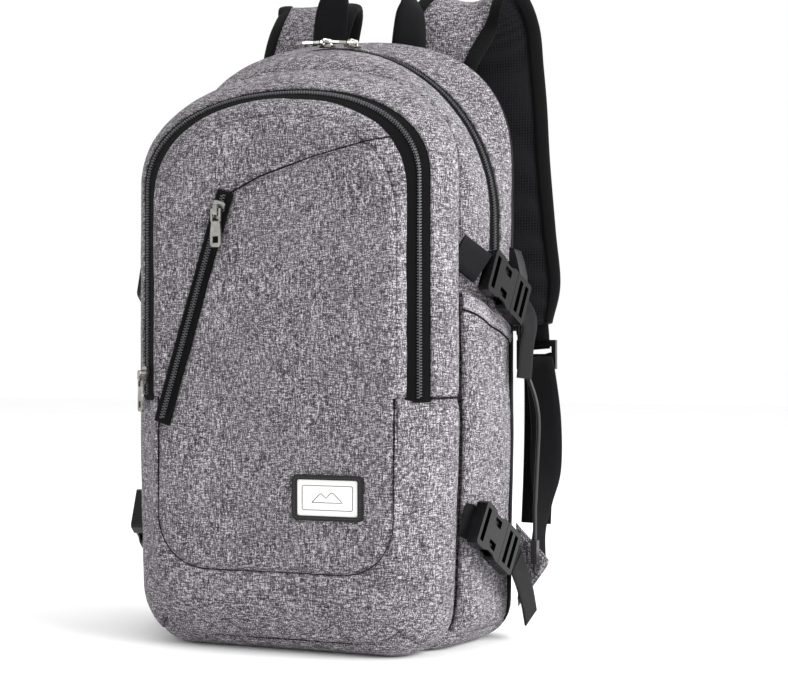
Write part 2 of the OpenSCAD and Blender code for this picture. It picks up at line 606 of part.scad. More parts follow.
BUCKLE_WIDTH = 34;
BUCKLE_THICK = 9;
SOCKET_START = -30;
SOCKET_END = 6;
module buckle_socket() color(black_plastic) difference() {
    translate([BUCKLE_THICK / 2, 0, 0]) rotate([0, -90, 0]) linear_extrude(BUCKLE_THICK) difference() {
        polygon([
            [-BUCKLE_WIDTH / 2 + 2, SOCKET_START], [BUCKLE_WIDTH / 2 - 2, SOCKET_START],
            [BUCKLE_WIDTH / 2, SOCKET_START + 2], [BUCKLE_WIDTH / 2, -18], [BUCKLE_WIDTH / 2 - 2.5, -11],
            [BUCKLE_WIDTH / 2 - 2.5, -5], [BUCKLE_WIDTH / 2, 1], [BUCKLE_WIDTH / 2, SOCKET_END],
            [-BUCKLE_WIDTH / 2, SOCKET_END], [-BUCKLE_WIDTH / 2, 1], [-BUCKLE_WIDTH / 2 + 2.5, -5],
            [-BUCKLE_WIDTH / 2 + 2.5, -11], [-BUCKLE_WIDTH / 2, -18], [-BUCKLE_WIDTH / 2, SOCKET_START + 2]]);
        translate([-13, SOCKET_START + 3.4]) square([26, 5]);
    }
    translate([-3, -18, -BUCKLE_WIDTH / 2 + 3.4]) cube([6, 40, BUCKLE_WIDTH - 6.8]);
    for (s = [-1, 1]) translate([-3, -14, s * BUCKLE_WIDTH / 2 - 4]) cube([6, 12, 8]);
    for (s = [-1, 1]) translate([-10, -13, s * 9 - 3]) cube([20, 10, 6]);
}
PLUG_START = SOCKET_END + 0.5;
PLUG_END = 29;
module buckle_plug() color(black_plastic) {
    translate([BUCKLE_THICK / 2, 0, 0]) rotate([0, -90, 0]) linear_extrude(BUCKLE_THICK) difference() {
        polygon([
            [-BUCKLE_WIDTH / 2, PLUG_START], [BUCKLE_WIDTH / 2, PLUG_START],
            [BUCKLE_WIDTH / 2, PLUG_END - 2], [BUCKLE_WIDTH / 2 - 2, PLUG_END],
            [-BUCKLE_WIDTH / 2 + 2, PLUG_END], [-BUCKLE_WIDTH / 2, PLUG_END - 2]]);
        for (y = [PLUG_START + 4.5, PLUG_START + 13.5]) translate([-13, y]) square([26, 5]);
    }
    for (s = [-1, 1]) translate([2.4, 0, 0]) rotate([0, -90, 0]) linear_extrude(4.8)
        polygon([[s * 7.5, PLUG_START + 1], [s * 11.5, PLUG_START + 1], [s * 11.5, -3],
            [s * 12.6, -6], [s * 12.6, -12], [s * 10, -15.5], [s * 7.5, -15.5]]);
    translate([-1.5, -12, -2]) cube([3, PLUG_START + 13, 4]);
}
module buckle_socket_top_right() buckle_frame(TOP_BUCKLE, TOP_DIP) buckle_socket();
module buckle_socket_bottom_right() buckle_frame(BOTTOM_BUCKLE, BOTTOM_DIP) buckle_socket();
module buckle_socket_top_left() left_copy() buckle_socket_top_right();
module buckle_socket_bottom_left() left_copy() buckle_socket_bottom_right();
module buckle_plug_top_right() buckle_frame(TOP_BUCKLE, TOP_DIP) buckle_plug();
module buckle_plug_bottom_right() buckle_frame(BOTTOM_BUCKLE, BOTTOM_DIP) buckle_plug();
module buckle_plug_top_left() left_copy() buckle_plug_top_right();
module buckle_plug_bottom_left() left_copy() buckle_plug_bottom_right();

// Webbing of one compression strap: front stub, rear length and hanging tail.
UP = [0, 0.45, 0.9];
STUB_UP = [0.33, 0.45, 0.9];
SEWN_UP = [0, 0.2, 0.98];
TOP_STUB = [[129.5, -19, 292], [133.8, -14, 288.5], [141, -9.3, 284.5]];
TOP_REAR = [
    [157.6, 46.2, 257.6], [156.5, 48.6, 257], [152, 49.2, 258], [145, 49.2, 259.5], [137, 49.2, 260.5]];
TOP_TAIL = [[160.2, 51, 253.5], [160.8, 53, 244], [158.6, 51.5, 228], [157, 50.3, 203]];
BOTTOM_STUB = [[127.5, -19, 100], [131, -18, 99], [136.5, -17, 96.5]];
BOTTOM_REAR = [[155.5, 26, 66], [157, 36, 58], [154.5, 54, 46], [150, 63, 40]];
BOTTOM_TAIL = [[156.5, 28, 64], [158.5, 38, 50], [160, 48, 34], [161, 55, 17]];
module compression_strap(stub, stub_across, rear, rear_across, tail, tail_across) color(dark) {
    strap(stub, repeat(webbing_width / 2, len(stub)), repeat(stub_across, len(stub)), 2 * webbing_thick);
    strap(rear, repeat(webbing_width / 2, len(rear)), rear_across, webbing_thick);
    strap(tail, repeat(webbing_width / 2, len(tail)), repeat(tail_across, len(tail)), webbing_thick);
}
module compression_strap_top_right()
    compression_strap(TOP_STUB, STUB_UP, TOP_REAR, concat([UP, UP], repeat(SEWN_UP, len(TOP_REAR) - 2)),
        TOP_TAIL, [0.2, 0.9, 0.1]);
module compression_strap_bottom_right()
    compression_strap(BOTTOM_STUB, UP, BOTTOM_REAR, repeat(UP, len(BOTTOM_REAR)),
        BOTTOM_TAIL, [0.1, 0.7, 0.6]);
module compression_strap_top_left() left_copy() compression_strap_top_right();
module compression_strap_bottom_left() left_copy() compression_strap_bottom_right();

// ---------------------------------------------------------------- charging port and cable

PORT = [half - 1.2, 64, 284];
PORT_WIDTH = 22;
PORT_HEIGHT = 44;
PORT_DEPTH = 9.5;
USB_SLOT = [5, 12.5];
plug_z = PORT[2] - 17;
port_x = PORT[0] + 5.2;
module usb_port_housing() color(black_plastic) difference() {
    translate([PORT[0], PORT[1] + PORT_WIDTH / 2, PORT[2] - PORT_HEIGHT / 2]) rotate([90, 0, 0])
        linear_extrude(PORT_WIDTH) polygon([
            [0, 0], [PORT_DEPTH - 1, 0], [PORT_DEPTH, 3], [PORT_DEPTH - 0.5, 22], [PORT_DEPTH - 3, 34],
            [4, PORT_HEIGHT - 2], [0, PORT_HEIGHT]]);
    translate([port_x - USB_SLOT[0] / 2 - 0.6, PORT[1] - USB_SLOT[1] / 2 - 0.6, 0])
        cube([USB_SLOT[0] + 1.2, USB_SLOT[1] + 1.2, plug_z + 16]);
}
module usb_socket() color(silver) difference() {
    translate([port_x - USB_SLOT[0] / 2 - 0.6, PORT[1] - USB_SLOT[1] / 2 - 0.6,
        PORT[2] - PORT_HEIGHT / 2 + 2])
        cube([USB_SLOT[0] + 1.2, USB_SLOT[1] + 1.2, plug_z + 16 - PORT[2] + PORT_HEIGHT / 2 - 2]);
    translate([port_x - USB_SLOT[0] / 2, PORT[1] - USB_SLOT[1] / 2, 0])
        cube([USB_SLOT[0], USB_SLOT[1], plug_z + 15]);
}
port_low = PORT[2] - PORT_HEIGHT / 2;
PLUG_BODY = 17;
module cable_usb_plug() color(dark) {
    translate([port_x - 2.2, PORT[1] - 6, port_low - 0.5]) cube([4.4, 12, 13]);
    translate([port_x - 3.6, PORT[1] - 7.6, port_low - 0.5 - PLUG_BODY]) cube([7.2, 15.2, PLUG_BODY]);
    translate([port_x, PORT[1], port_low - PLUG_BODY - 8]) cylinder(h = 8, r1 = 2.1, r2 = 3);
}
cable_top = port_low - PLUG_BODY - 8;
CABLE_DIAMETER = 3.4;
CABLE = [
    [150, 64, 237], [150, 64, 230], [151, 64, 222], [153, 64, 214], [156, 64, 206], [159, 64, 198],
    [162, 64, 189], [164, 64, 180], [165, 64, 170], [165, 64, 160], [164.5, 64, 150], [164, 64, 140],
    [163.5, 64, 130], [163, 64, 120], [162.5, 64, 110], [162, 64, 100], [162, 64, 92], [162, 64, 84],
    [162, 64, 76]];
function cable_route() = [for (i = [0:len(CABLE) - 1])
    i == 0 ? [port_x, PORT[1], cable_top] : CABLE[i]];
module charging_cable() color(dark) {
    route = cable_route();
    sides = 8;
    m = len(route);
    points = [for (i = [0:m - 1])
        let (t = tangent(route, i), a = unit(cross(t, [0, 1, 0])), b = cross(t, a))
        for (j = [0:sides - 1]) let (q = 360 * j / sides)
            route[i] + CABLE_DIAMETER / 2 * (a * cos(q) + b * sin(q))];
    polyhedron(points, concat(
        [[for (j = [0:sides - 1]) j]],
        [for (i = [0:m - 2]) for (j = [0:sides - 1]) let (k = (j + 1) % sides)
            each quad(i * sides + j, (i + 1) * sides + j, (i + 1) * sides + k, i * sides + k, false)],
        [[for (j = [sides - 1:-1:0]) (m - 1) * sides + j]]));
}
module cable_end_plug() color(dark) {
    translate([CABLE[18][0] - 2.4, 64 - 4.2, 58]) cube([4.8, 8.4, 18]);
    translate([CABLE[18][0] - 0.8, 64 - 3.4, 51]) cube([1.6, 6.8, 7]);
}

front_panel_main();
front_panel_upper();
front_lower_panel();
front_gusset();
middle_wall();
mid_gusset();
rear_gusset();
side_panel_right();
side_panel_left();
base_panel();
back_panel();
back_pads();
laptop_divider();
side_pocket_right();
side_pocket_left();
pocket_hem_right();
pocket_hem_left();
front_zip_tape();
front_zip_teeth();
main_zip_tape();
main_zip_teeth();
diagonal_zip_tape();
diagonal_zip_teeth();
diagonal_zip_slider();
diagonal_zip_pull();
front_zip_slider();
front_zip_pull();
main_zip_slider_left();
main_zip_slider_right();
main_zip_pull_left();
main_zip_pull_right();
label_frame();
label_plate();
shoulder_pad_right();
shoulder_pad_left();
strap_anchors();
ladder_lock_right();
ladder_lock_left();
shoulder_webbing_right();
shoulder_webbing_left();
corner_tab_right();
corner_tab_left();
haul_loop();
buckle_socket_top_right();
buckle_socket_bottom_right();
buckle_socket_top_left();
buckle_socket_bottom_left();
buckle_plug_top_right();
buckle_plug_bottom_right();
buckle_plug_top_left();
buckle_plug_bottom_left();
compression_strap_top_right();
compression_strap_bottom_right();
compression_strap_top_left();
compression_strap_bottom_left();
usb_port_housing();
usb_socket();
cable_usb_plug();
charging_cable();
cable_end_plug();
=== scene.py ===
import json
import math

import bpy
import numpy as np
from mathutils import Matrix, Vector, geometry, noise


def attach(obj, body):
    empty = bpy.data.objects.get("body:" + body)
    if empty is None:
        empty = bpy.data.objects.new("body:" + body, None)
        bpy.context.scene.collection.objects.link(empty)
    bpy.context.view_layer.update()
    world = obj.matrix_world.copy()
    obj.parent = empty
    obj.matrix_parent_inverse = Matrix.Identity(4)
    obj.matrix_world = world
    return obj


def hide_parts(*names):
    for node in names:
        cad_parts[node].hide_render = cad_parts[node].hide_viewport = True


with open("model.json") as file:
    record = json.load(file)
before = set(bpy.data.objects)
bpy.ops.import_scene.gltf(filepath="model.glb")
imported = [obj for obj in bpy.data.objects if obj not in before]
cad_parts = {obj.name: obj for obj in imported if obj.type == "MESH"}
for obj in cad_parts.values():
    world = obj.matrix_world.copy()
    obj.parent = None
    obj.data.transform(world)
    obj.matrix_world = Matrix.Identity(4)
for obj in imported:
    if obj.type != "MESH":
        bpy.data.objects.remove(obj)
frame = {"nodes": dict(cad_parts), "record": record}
BODIES = frame["record"]["behaviour"]["bodies"]
NODES = frame["nodes"]
BODY_OF = {node: body for body, members in BODIES.items() for node in members}
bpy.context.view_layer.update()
MM = 0.001

# ---- camera and light

CAMERA_PLACE = (0.44089, -1.03176, 0.2167)
CAMERA_AIM = (-0.34018, 0.94032, 0.00867)


def put(name, data):
    """An object of the scene that holds this data."""
    obj = bpy.data.objects.new(name, data)
    bpy.context.scene.collection.objects.link(obj)
    return obj


camera = put("camera", bpy.data.cameras.new("camera"))
camera.location = CAMERA_PLACE
camera.rotation_euler = Vector(CAMERA_AIM).to_track_quat("-Z", "Y").to_euler()
camera.data.lens = 65.47
camera.data.sensor_width = 36
bpy.context.scene.camera = camera


def light(name, place, target, size, power, tint=(1, 1, 1)):
    lamp = bpy.data.lights.new(name, "AREA")
    lamp.size = size
    lamp.energy = power
    lamp.color = tint
    holder = put(name, lamp)
    holder.location = place
    holder.rotation_euler = (Vector(target) - Vector(place)).to_track_quat("-Z", "Y").to_euler()


light("key", (2.4, -0.45, 1.25), (0.05, 0, 0.25), 1.6, 95)
light("fill", (-1.7, -1.8, 0.9), (0, 0, 0.22), 1.6, 5)
light("top", (0.1, 0.2, 2.2), (0, 0, 0.2), 1.6, 10)
world = bpy.data.worlds.new("studio")
world.use_nodes = True
world.node_tree.nodes["Background"].inputs[0].default_value = (1, 1, 1, 1)
world.node_tree.nodes["Background"].inputs[1].default_value = 1.0
bpy.context.scene.world = world
bpy.context.scene.view_settings.view_transform = "Standard"

# ---- materials


def srgb(*values):
    """Linear colour from 8 bit sRGB values."""
    linear = [v / 255 / 12.92 if v < 10 else ((v / 255 + 0.055) / 1.055) ** 2.4 for v in values]
    return (*linear, 1)


class Shader:
    """A node tree built from short calls."""

    def __init__(self, name, roughness=0.8, **settings):
        self.material = bpy.data.materials.new(name)
        self.material.use_nodes = True
        self.tree = self.material.node_tree
        self.bsdf = self.tree.nodes["Principled BSDF"]
        self.bsdf.inputs["Roughness"].default_value = roughness
        for key, value in settings.items():
            self.bsdf.inputs[key.replace("_", " ")].default_value = value
        self.place = self.add("ShaderNodeTexCoord").outputs["Object"]

    def add(self, kind, **settings):
        node = self.tree.nodes.new(kind)
        for key, value in settings.items():
            setattr(node, key, value)
        return node

    def join(self, source, target):
        self.tree.links.new(source, target)

    def scaled(self, scale, source=None):
        node = self.add("ShaderNodeMapping")
        node.inputs["Scale"].default_value = scale
        self.join(source or self.place, node.inputs["Vector"])
        return node.outputs[0]

    def noise(self, scale, detail=2.0):
        node = self.add("ShaderNodeTexNoise")
        node.inputs["Scale"].default_value = 1
        node.inputs["Detail"].default_value = detail
        node.inputs["Roughness"].default_value = 0.55
        scale = scale if isinstance(scale, tuple) else (scale,) * 3
        self.join(self.scaled(scale), node.inputs["Vector"])
        return node.outputs["Fac"]

    def math(self, operation, a, b):
        node = self.add("ShaderNodeMath", operation=operation)
        for socket, value in zip(node.inputs, (a, b)):
            if isinstance(value, (int, float)):
                socket.default_value = value
            else:
                self.join(value, socket)
        return node.outputs[0]

    def blend(self, *parts):
        """The sum of several sources, each times its share."""
        total = None
        for source, share in parts:
            part = self.math("MULTIPLY", source, share)
            total = part if total is None else self.math("ADD", total, part)
        return total

    def ramp(self, source, stops):
        node = self.add("ShaderNodeValToRGB")
        elements = node.color_ramp.elements
        while len(elements) < len(stops):
            elements.new(0.5)
        for element, (place, colour) in zip(elements, stops):
            element.position = place
            element.color = colour
        self.join(source, node.inputs[0])
        return node.outputs[0]

    def colour(self, source):
        self.join(source, self.bsdf.inputs["Base Color"])
        return self

    def bump(self, height, distance, strength=1.0):
        node = self.add("ShaderNodeBump")
        node.inputs["Distance"].default_value = distance
        node.inputs["Strength"].default_value = strength
        self.join(height, node.inputs["Height"])
        self.join(node.outputs[0], self.bsdf.inputs["Normal"])
        return self

    def rough(self, source, low, high):
        node = self.add("ShaderNodeMapRange")
        node.inputs["To Min"].default_value = low
        node.inputs["To Max"].default_value = high
        self.join(source, node.inputs["Value"])
        self.join(node.outputs[0], self.bsdf.inputs["Roughness"])
        return self


def heather(name, dark, middle, light_tone):
    """Two-tone woven canvas: long slubs both ways, fine weave, broad mottling."""
    s = Shader(name, 0.9, Sheen_Weight=0.06, Sheen_Roughness=0.5, Specular_IOR_Level=0.2)
    weft = s.noise((220, 220, 1350), 2.0)
    warp = s.noise((1350, 1350, 220), 2.0)
    speck = s.noise(1300, 2.0)
    broad = s.noise(28, 2)
    mixed = s.blend((weft, 0.31), (warp, 0.31), (speck, 0.34), (broad, 0.04))
    s.colour(s.ramp(mixed, [(0.4, dark), (0.5, middle), (0.6, light_tone)]))
    weave = s.blend((weft, 0.5), (warp, 0.5), (broad, 0.7))
    return s.bump(weave, 0.0011, 0.75).material


def woven(name, dark, light_tone, roughness=0.75, ribs=620.0, sheen=0.02):
    """Webbing and tape: ribs along the strap from its lay attribute."""
    s = Shader(name, roughness, Sheen_Weight=sheen, Sheen_Roughness=0.45, Specular_IOR_Level=0.1)
    lay = s.add("ShaderNodeAttribute", attribute_name="lay").outputs["Vector"]
    node = s.add("ShaderNodeTexWave", wave_type="BANDS", bands_direction="X")
    node.inputs["Scale"].default_value = 1
    node.inputs["Distortion"].default_value = 0.6
    s.join(s.scaled((ribs, ribs * 0.1, 1), lay), node.inputs["Vector"])
    grain = s.noise((900, 900, 900), 2)
    mixed = s.blend((node.outputs["Fac"], 0.45), (grain, 0.6))
    s.colour(s.ramp(mixed, [(0.3, dark), (0.8, light_tone)]))
    return s.bump(mixed, 0.0004, 0.8).material


def plain(name, tone, other, roughness, scale=220, bump=0.00012, **settings):
    """Moulded plastic, rubber or metal with slight variation in colour and gloss."""
    s = Shader(name, roughness, **settings)
    grain = s.noise(scale, 3)
    s.colour(s.ramp(grain, [(0.35, tone), (0.68, other)]))
    s.rough(grain, roughness - 0.08, roughness + 0.1)
    return s.bump(s.noise(scale * 6, 2), bump, 0.7).material


def mesh_cloth(name, dark, light_tone, scale=420.0):
    """Open air mesh: small round holes in a knitted face."""
    s = Shader(name, 0.88, Sheen_Weight=0.02, Sheen_Roughness=0.4, Specular_IOR_Level=0.1)
    node = s.add("ShaderNodeTexVoronoi", feature="F1", distance="EUCLIDEAN")
    node.inputs["Scale"].default_value = scale
    node.inputs["Randomness"].default_value = 0.12
    s.join(s.place, node.inputs["Vector"])
    holes = s.math("ADD", node.outputs["Distance"], s.math("MULTIPLY", s.noise(60, 2), 0.25))
    s.colour(s.ramp(holes, [(0.2, dark), (0.62, light_tone)]))
    return s.bump(node.outputs["Distance"], 0.0008, 0.8).material


M = {
    "heather": heather("heather_grey", srgb(20, 18, 21), srgb(85, 81, 86), srgb(188, 183, 189)),
    "heather_hem": heather("heather_hem", srgb(48, 45, 49), srgb(120, 115, 121), srgb(200, 195, 201)),
    "lining": plain("lining_cloth", srgb(38, 38, 41), srgb(54, 54, 58), 0.8, 900, 0.0004),
    "mesh": mesh_cloth("air_mesh_black", srgb(3, 3, 4), srgb(30, 30, 33)),
    "tape": woven("zip_tape_black", srgb(2, 2, 3), srgb(11, 11, 13), 0.85, 1100),
    "binding": woven("binding_black", srgb(2, 2, 3), srgb(13, 13, 15), 0.75, 900),
    "webbing": woven("webbing_black", srgb(3, 3, 4), srgb(18, 18, 21), 0.62, 620, 0.03),
    "charcoal": woven("webbing_charcoal", srgb(5, 5, 7), srgb(28, 28, 32), 0.6, 620, 0.04),
    # Zip teeth: grey, lighter than the black tape, as a painted highlight along the black coil.
    "teeth": plain("zip_teeth", srgb(48, 48, 51), srgb(76, 76, 80), 0.32, 500),
    "nickel": plain("nickel", srgb(132, 130, 127), srgb(160, 158, 154), 0.25, 160, 0.00005, Metallic=1.0),
    "rubber": plain("label_rubber", srgb(9, 9, 10), srgb(20, 20, 22), 0.5, 700, 0.0002,
                    Specular_IOR_Level=0.3),
    "plate": plain("label_plate", srgb(226, 225, 222), srgb(233, 232, 229), 0.38, 40, 0.00003),
    "plastic": plain("buckle_plastic", srgb(2, 2, 3), srgb(7, 7, 8), 0.24, 260, Specular_IOR_Level=0.26),
    "gloss": plain("port_plastic", srgb(5, 6, 9), srgb(15, 16, 21), 0.3, 200, Specular_IOR_Level=0.25),
    "steel": plain("plug_steel", srgb(150, 150, 152), srgb(196, 196, 198), 0.25, 200, 0.00005, Metallic=1.0),
    "cable": plain("cable_black", srgb(9, 9, 10), srgb(22, 22, 24), 0.42, 400),
    "thread": plain("thread_grey", srgb(150, 146, 151), srgb(196, 192, 197), 0.7, 900),
    "thread_dark": plain("thread_dark", srgb(40, 40, 44), srgb(74, 74, 80), 0.6, 900),
    # Seam finish: near-black, for cords that paint the shade lines in sunk seams and under the pocket hems.
    "seam": plain("seam_shadow", srgb(14, 13, 15), srgb(30, 28, 32), 0.95, 700, Specular_IOR_Level=0.1),
}

# ---- mesh helpers


def make(name, verts, faces, material, body, replaces=(), lay=None, smooth=True):
    """A mesh object from millimetre points, riding on a body."""
    mesh = bpy.data.meshes.new(name)
    mesh.from_pydata([tuple(float(c) * MM for c in v) for v in verts], [], [tuple(f) for f in faces])
    mesh.validate()
    if lay is not None:
        mesh.attributes.new("lay", "FLOAT_VECTOR", "POINT").data.foreach_set(
            "vector", (np.array(lay, float) * MM).ravel())
    mesh.materials.append(M[material])
    obj = put(name, mesh)
    if smooth:
        mesh.polygons.foreach_set("use_smooth", [True] * len(mesh.polygons))
    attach(obj, body)
    if replaces:
        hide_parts(*replaces)
    return obj


def modify(obj, kind, **settings):
    modifier = obj.modifiers.new(kind.lower(), kind)
    for key, value in settings.items():
        setattr(modifier, key, value)
    return obj


def soft_edges(obj, width, segments=2, angle=35):
    modify(obj, "BEVEL", width=width * MM, segments=segments, limit_method="ANGLE",
           angle_limit=math.radians(angle), harden_normals=False)
    obj.data.polygons.foreach_set("use_smooth", [True] * len(obj.data.polygons))
    modify(obj, "WEIGHTED_NORMAL", keep_sharp=True)
    return obj


def keep_node(name, material, bevel=0.0):
    """A carried-over CAD node with its finish and eased edges."""
    obj = NODES[name]
    obj.data.materials.clear()
    obj.data.materials.append(M[material])
    if bevel:
        soft_edges(obj, bevel)
    return obj


def mirrored(points):
    return np.array(points, float) * np.array([-1, 1, 1])


def run_along(points):
    """Distance along a line at each of its points."""
    return np.r_[0, np.cumsum(np.linalg.norm(np.diff(points, axis=0), axis=1))]


def at_runs(points, run, places):
    """The points at given distances along a line."""
    return np.stack([np.interp(places, run, points[:, k]) for k in range(points.shape[1])], axis=1)


def point_at(points, run, place):
    return np.array([np.interp(place, run, points[:, k]) for k in range(3)])


def wrinkle(p, size=1.0):
    """Gentle unevenness of padded cloth at a point, in mm."""
    q = Vector((p[0], p[1], p[2]))
    return size * (0.75 * noise.noise(q / 62.0) + 0.42 * noise.noise(q / 24.0 + Vector((7, 3, 1)))
                   + 0.16 * noise.noise(q / 9.0))


def grid_normals(grid):
    along = np.gradient(grid, axis=0)
    around = np.gradient(grid, axis=1)
    normal = np.cross(around, along)
    return normal / np.maximum(np.linalg.norm(normal, axis=2, keepdims=True), 1e-9)


def border_distance(grid, axis):
    step = np.linalg.norm(np.diff(grid, axis=axis), axis=2)
    zero = np.zeros_like(np.take(step, [0], axis=axis))
    run = np.concatenate([zero, np.cumsum(step, axis=axis)], axis=axis)
    return run, np.take(run, [-1], axis=axis) - run


SEAM_ROLL, SEAM_DRAW = 2.6, 9.0  # mm in which a sewn border rolls in, and in which it draws down


def cloth_sheet(name, grid, body, material="heather", replaces=(), thick=2.2,
                out=-1, seams="ab01", roll=1.3, size=1.0, keep=None, lay=False):
    """A sheet of cloth over a grid of points. Its seamed borders roll in, and it is slightly uneven.
    seams names the borders that are sewn: a, b are the first and last row, 0, 1 the columns."""
    grid = np.array(grid, float)
    m, n = grid.shape[:2]
    normal = grid_normals(grid) * out
    a, b = border_distance(grid, 0)
    c, d = border_distance(grid, 1)
    near = np.full((m, n), 1e3)
    for key, run in zip("ab01", (a, b, c, d)):
        if key in seams:
            near = np.minimum(near, run)
    shift = -roll * np.exp(-(near / SEAM_ROLL) ** 2) - 0.35 * roll * np.exp(-(near / SEAM_DRAW) ** 2)
    for i in range(m):
        for j in range(n):
            shift[i, j] += wrinkle(grid[i, j], size)
    points = (grid + normal * shift[..., None]).reshape(-1, 3)
    faces = []
    for i in range(m - 1):
        for j in range(n - 1):
            if keep is None or keep(i, j):
                k = i * n + j
                face = (k, k + 1, k + n + 1, k + n)
                faces.append(face if out > 0 else face[::-1])
    spread = [np.broadcast_to(a, (m, n)), np.broadcast_to(c, (m, n)), 0 * near]
    spread = np.stack(spread, axis=2).reshape(-1, 3)
    used = sorted({v for f in faces for v in f})
    index = {v: k for k, v in enumerate(used)}
    faces = [tuple(index[v] for v in f) for f in faces]
    obj = make(name, points[used], faces, material, body, replaces, lay=spread[used] if lay else None)
    modify(obj, "SOLIDIFY", thickness=thick * MM, offset=-1, use_even_offset=True)
    return obj


def smooth_path(points, steps):
    """Catmull-Rom through the points, resampled evenly."""
    p = np.array(points, float)
    p = np.vstack([2 * p[0] - p[1], p, 2 * p[-1] - p[-2]])
    out = []
    for i in range(1, len(p) - 2):
        for t in np.linspace(0, 1, 16, endpoint=False):
            a, b, c, d = p[i - 1:i + 3]
            out.append(0.5 * (2 * b + (c - a) * t + (2 * a - 5 * b + 4 * c - d) * t ** 2
                              + (3 * b - a - 3 * c + d) * t ** 3))
    out.append(p[-2])
    out = np.array(out)
    run = run_along(out)
    return at_runs(out, run, np.linspace(0, run[-1], steps))


ACROSS_WEIGHT = 40  # mm that a full turn of the across direction counts for along the path


def strap_frames(path, across, widths, steps):
    """Evenly spaced centre points, their across and outward directions, half widths and runs."""
    columns = (np.array(path, float), ACROSS_WEIGHT * np.array(across, float),
               np.array(widths, float)[:, None])
    both = smooth_path(np.hstack(columns), 400)
    run = run_along(both[:, :3])
    even = np.linspace(0, run[-1], steps)
    both = at_runs(both, run, even)
    centre = both[:, :3]
    tangent = np.gradient(centre, axis=0)
    tangent /= np.linalg.norm(tangent, axis=1, keepdims=True)
    side = both[:, 3:6] - tangent * np.sum(both[:, 3:6] * tangent, axis=1, keepdims=True)
    side /= np.linalg.norm(side, axis=1, keepdims=True)
    return centre, side, np.cross(tangent, side), both[:, 6], even


def sweep(name, frames, profile, body, material, replaces=(), cap=True):
    """A closed profile [(across as a share of the half width, outward mm)] swept along frames."""
    centre, side, up, half, run = frames
    n = len(profile)
    verts, lay = [], []
    for i in range(len(centre)):
        for a, h in profile:
            verts.append(centre[i] + side[i] * a * half[i] + up[i] * h)
            lay.append((run[i], a * half[i], h))
    faces = []
    for i in range(len(centre) - 1):
        for j in range(n):
            k = (j + 1) % n
            faces.append((i * n + j, i * n + k, (i + 1) * n + k, (i + 1) * n + j))
    if cap:
        faces.append(tuple(range(n))[::-1])
        faces.append(tuple((len(centre) - 1) * n + j for j in range(n)))
    return make(name, verts, faces, material, body, replaces, lay=lay)


def tape_profile(thick, shadow=0.08):
    t = thick / 2
    return [(-1, 0), (-1 + shadow, -t), (-0.5, -t), (0, -t), (0.5, -t), (1 - shadow, -t),
            (1, 0), (1 - shadow, t), (0.5, t), (0, t), (-0.5, t), (-1 + shadow, t)]


def webbing(name, path, across, widths, body, material="webbing", replaces=(), thick=1.6, steps=60):
    frames = strap_frames(path, across, widths, steps)
    return sweep(name, frames, tape_profile(thick), body, material, replaces)


def joined(name, parts):
    """Several meshes of one body as one piece."""
    with bpy.context.temp_override(active_object=parts[0], selected_editable_objects=parts,
                                   selected_objects=parts):
        bpy.ops.object.join()
    parts[0].name = name
    parts[0].data.name = name
    return parts[0]


def stitches(name, lines, body, material="thread", pitch=3.6, length=2.5, radius=0.34):
    """Rows of short thread stitches along lines of points that lie on the cloth."""
    verts, faces = [], []
    for line in lines:
        line = np.array(line, float)
        run = run_along(line)
        for k in range(int(run[-1] / pitch)):
            ends = [point_at(line, run, s) for s in (k * pitch + 0.5, k * pitch + 0.5 + length)]
            axis = (ends[1] - ends[0]) / length
            one = np.cross(axis, (0.3, 0.2, 0.93))
            one /= np.linalg.norm(one)
            two = np.cross(axis, one)
            base = len(verts)
            verts.append(ends[0])
            for share in (0.18, 0.82):
                mid = ends[0] + (ends[1] - ends[0]) * share
                for q in range(5):
                    t = 2 * math.pi * q / 5
                    verts.append(mid + radius * (one * math.cos(t) + two * math.sin(t)))
            verts.append(ends[1])
            for q in range(5):
                w = (q + 1) % 5
                faces.append((base, base + 1 + w, base + 1 + q))
                faces.append((base + 1 + q, base + 1 + w, base + 6 + w, base + 6 + q))
                faces.append((base + 6 + q, base + 6 + w, base + 11))
    return make(name, verts, faces, material, body)


def cord_line(name, lines, radius, body, material="seam", sides=6):
    """Thin round cords along lines of points. With the default dark seam finish they are painted shade lines in
    sunk seams.
    """
    verts, faces = [], []
    for line in lines:
        line = np.array(line, float)
        tangent = np.gradient(line, axis=0)
        for i, (p, t) in enumerate(zip(line, tangent)):
            t = t / np.linalg.norm(t)
            one = np.cross(t, (0.31, 0.2, 0.93))
            one /= np.linalg.norm(one)
            two = np.cross(t, one)
            base = len(verts)
            for q in range(sides):
                a = 2 * math.pi * q / sides
                verts.append(p + radius * (one * math.cos(a) + two * math.sin(a)))
                if i:
                    w = (q + 1) % sides
                    faces.append((base - sides + q, base + q, base + w, base - sides + w))
            if i == 0:
                faces.append(tuple(base + q for q in range(sides)))
        faces.append(tuple(len(verts) - 1 - q for q in range(sides)))
    return make(name, verts, faces, material, body)


# ---- the bag's sections

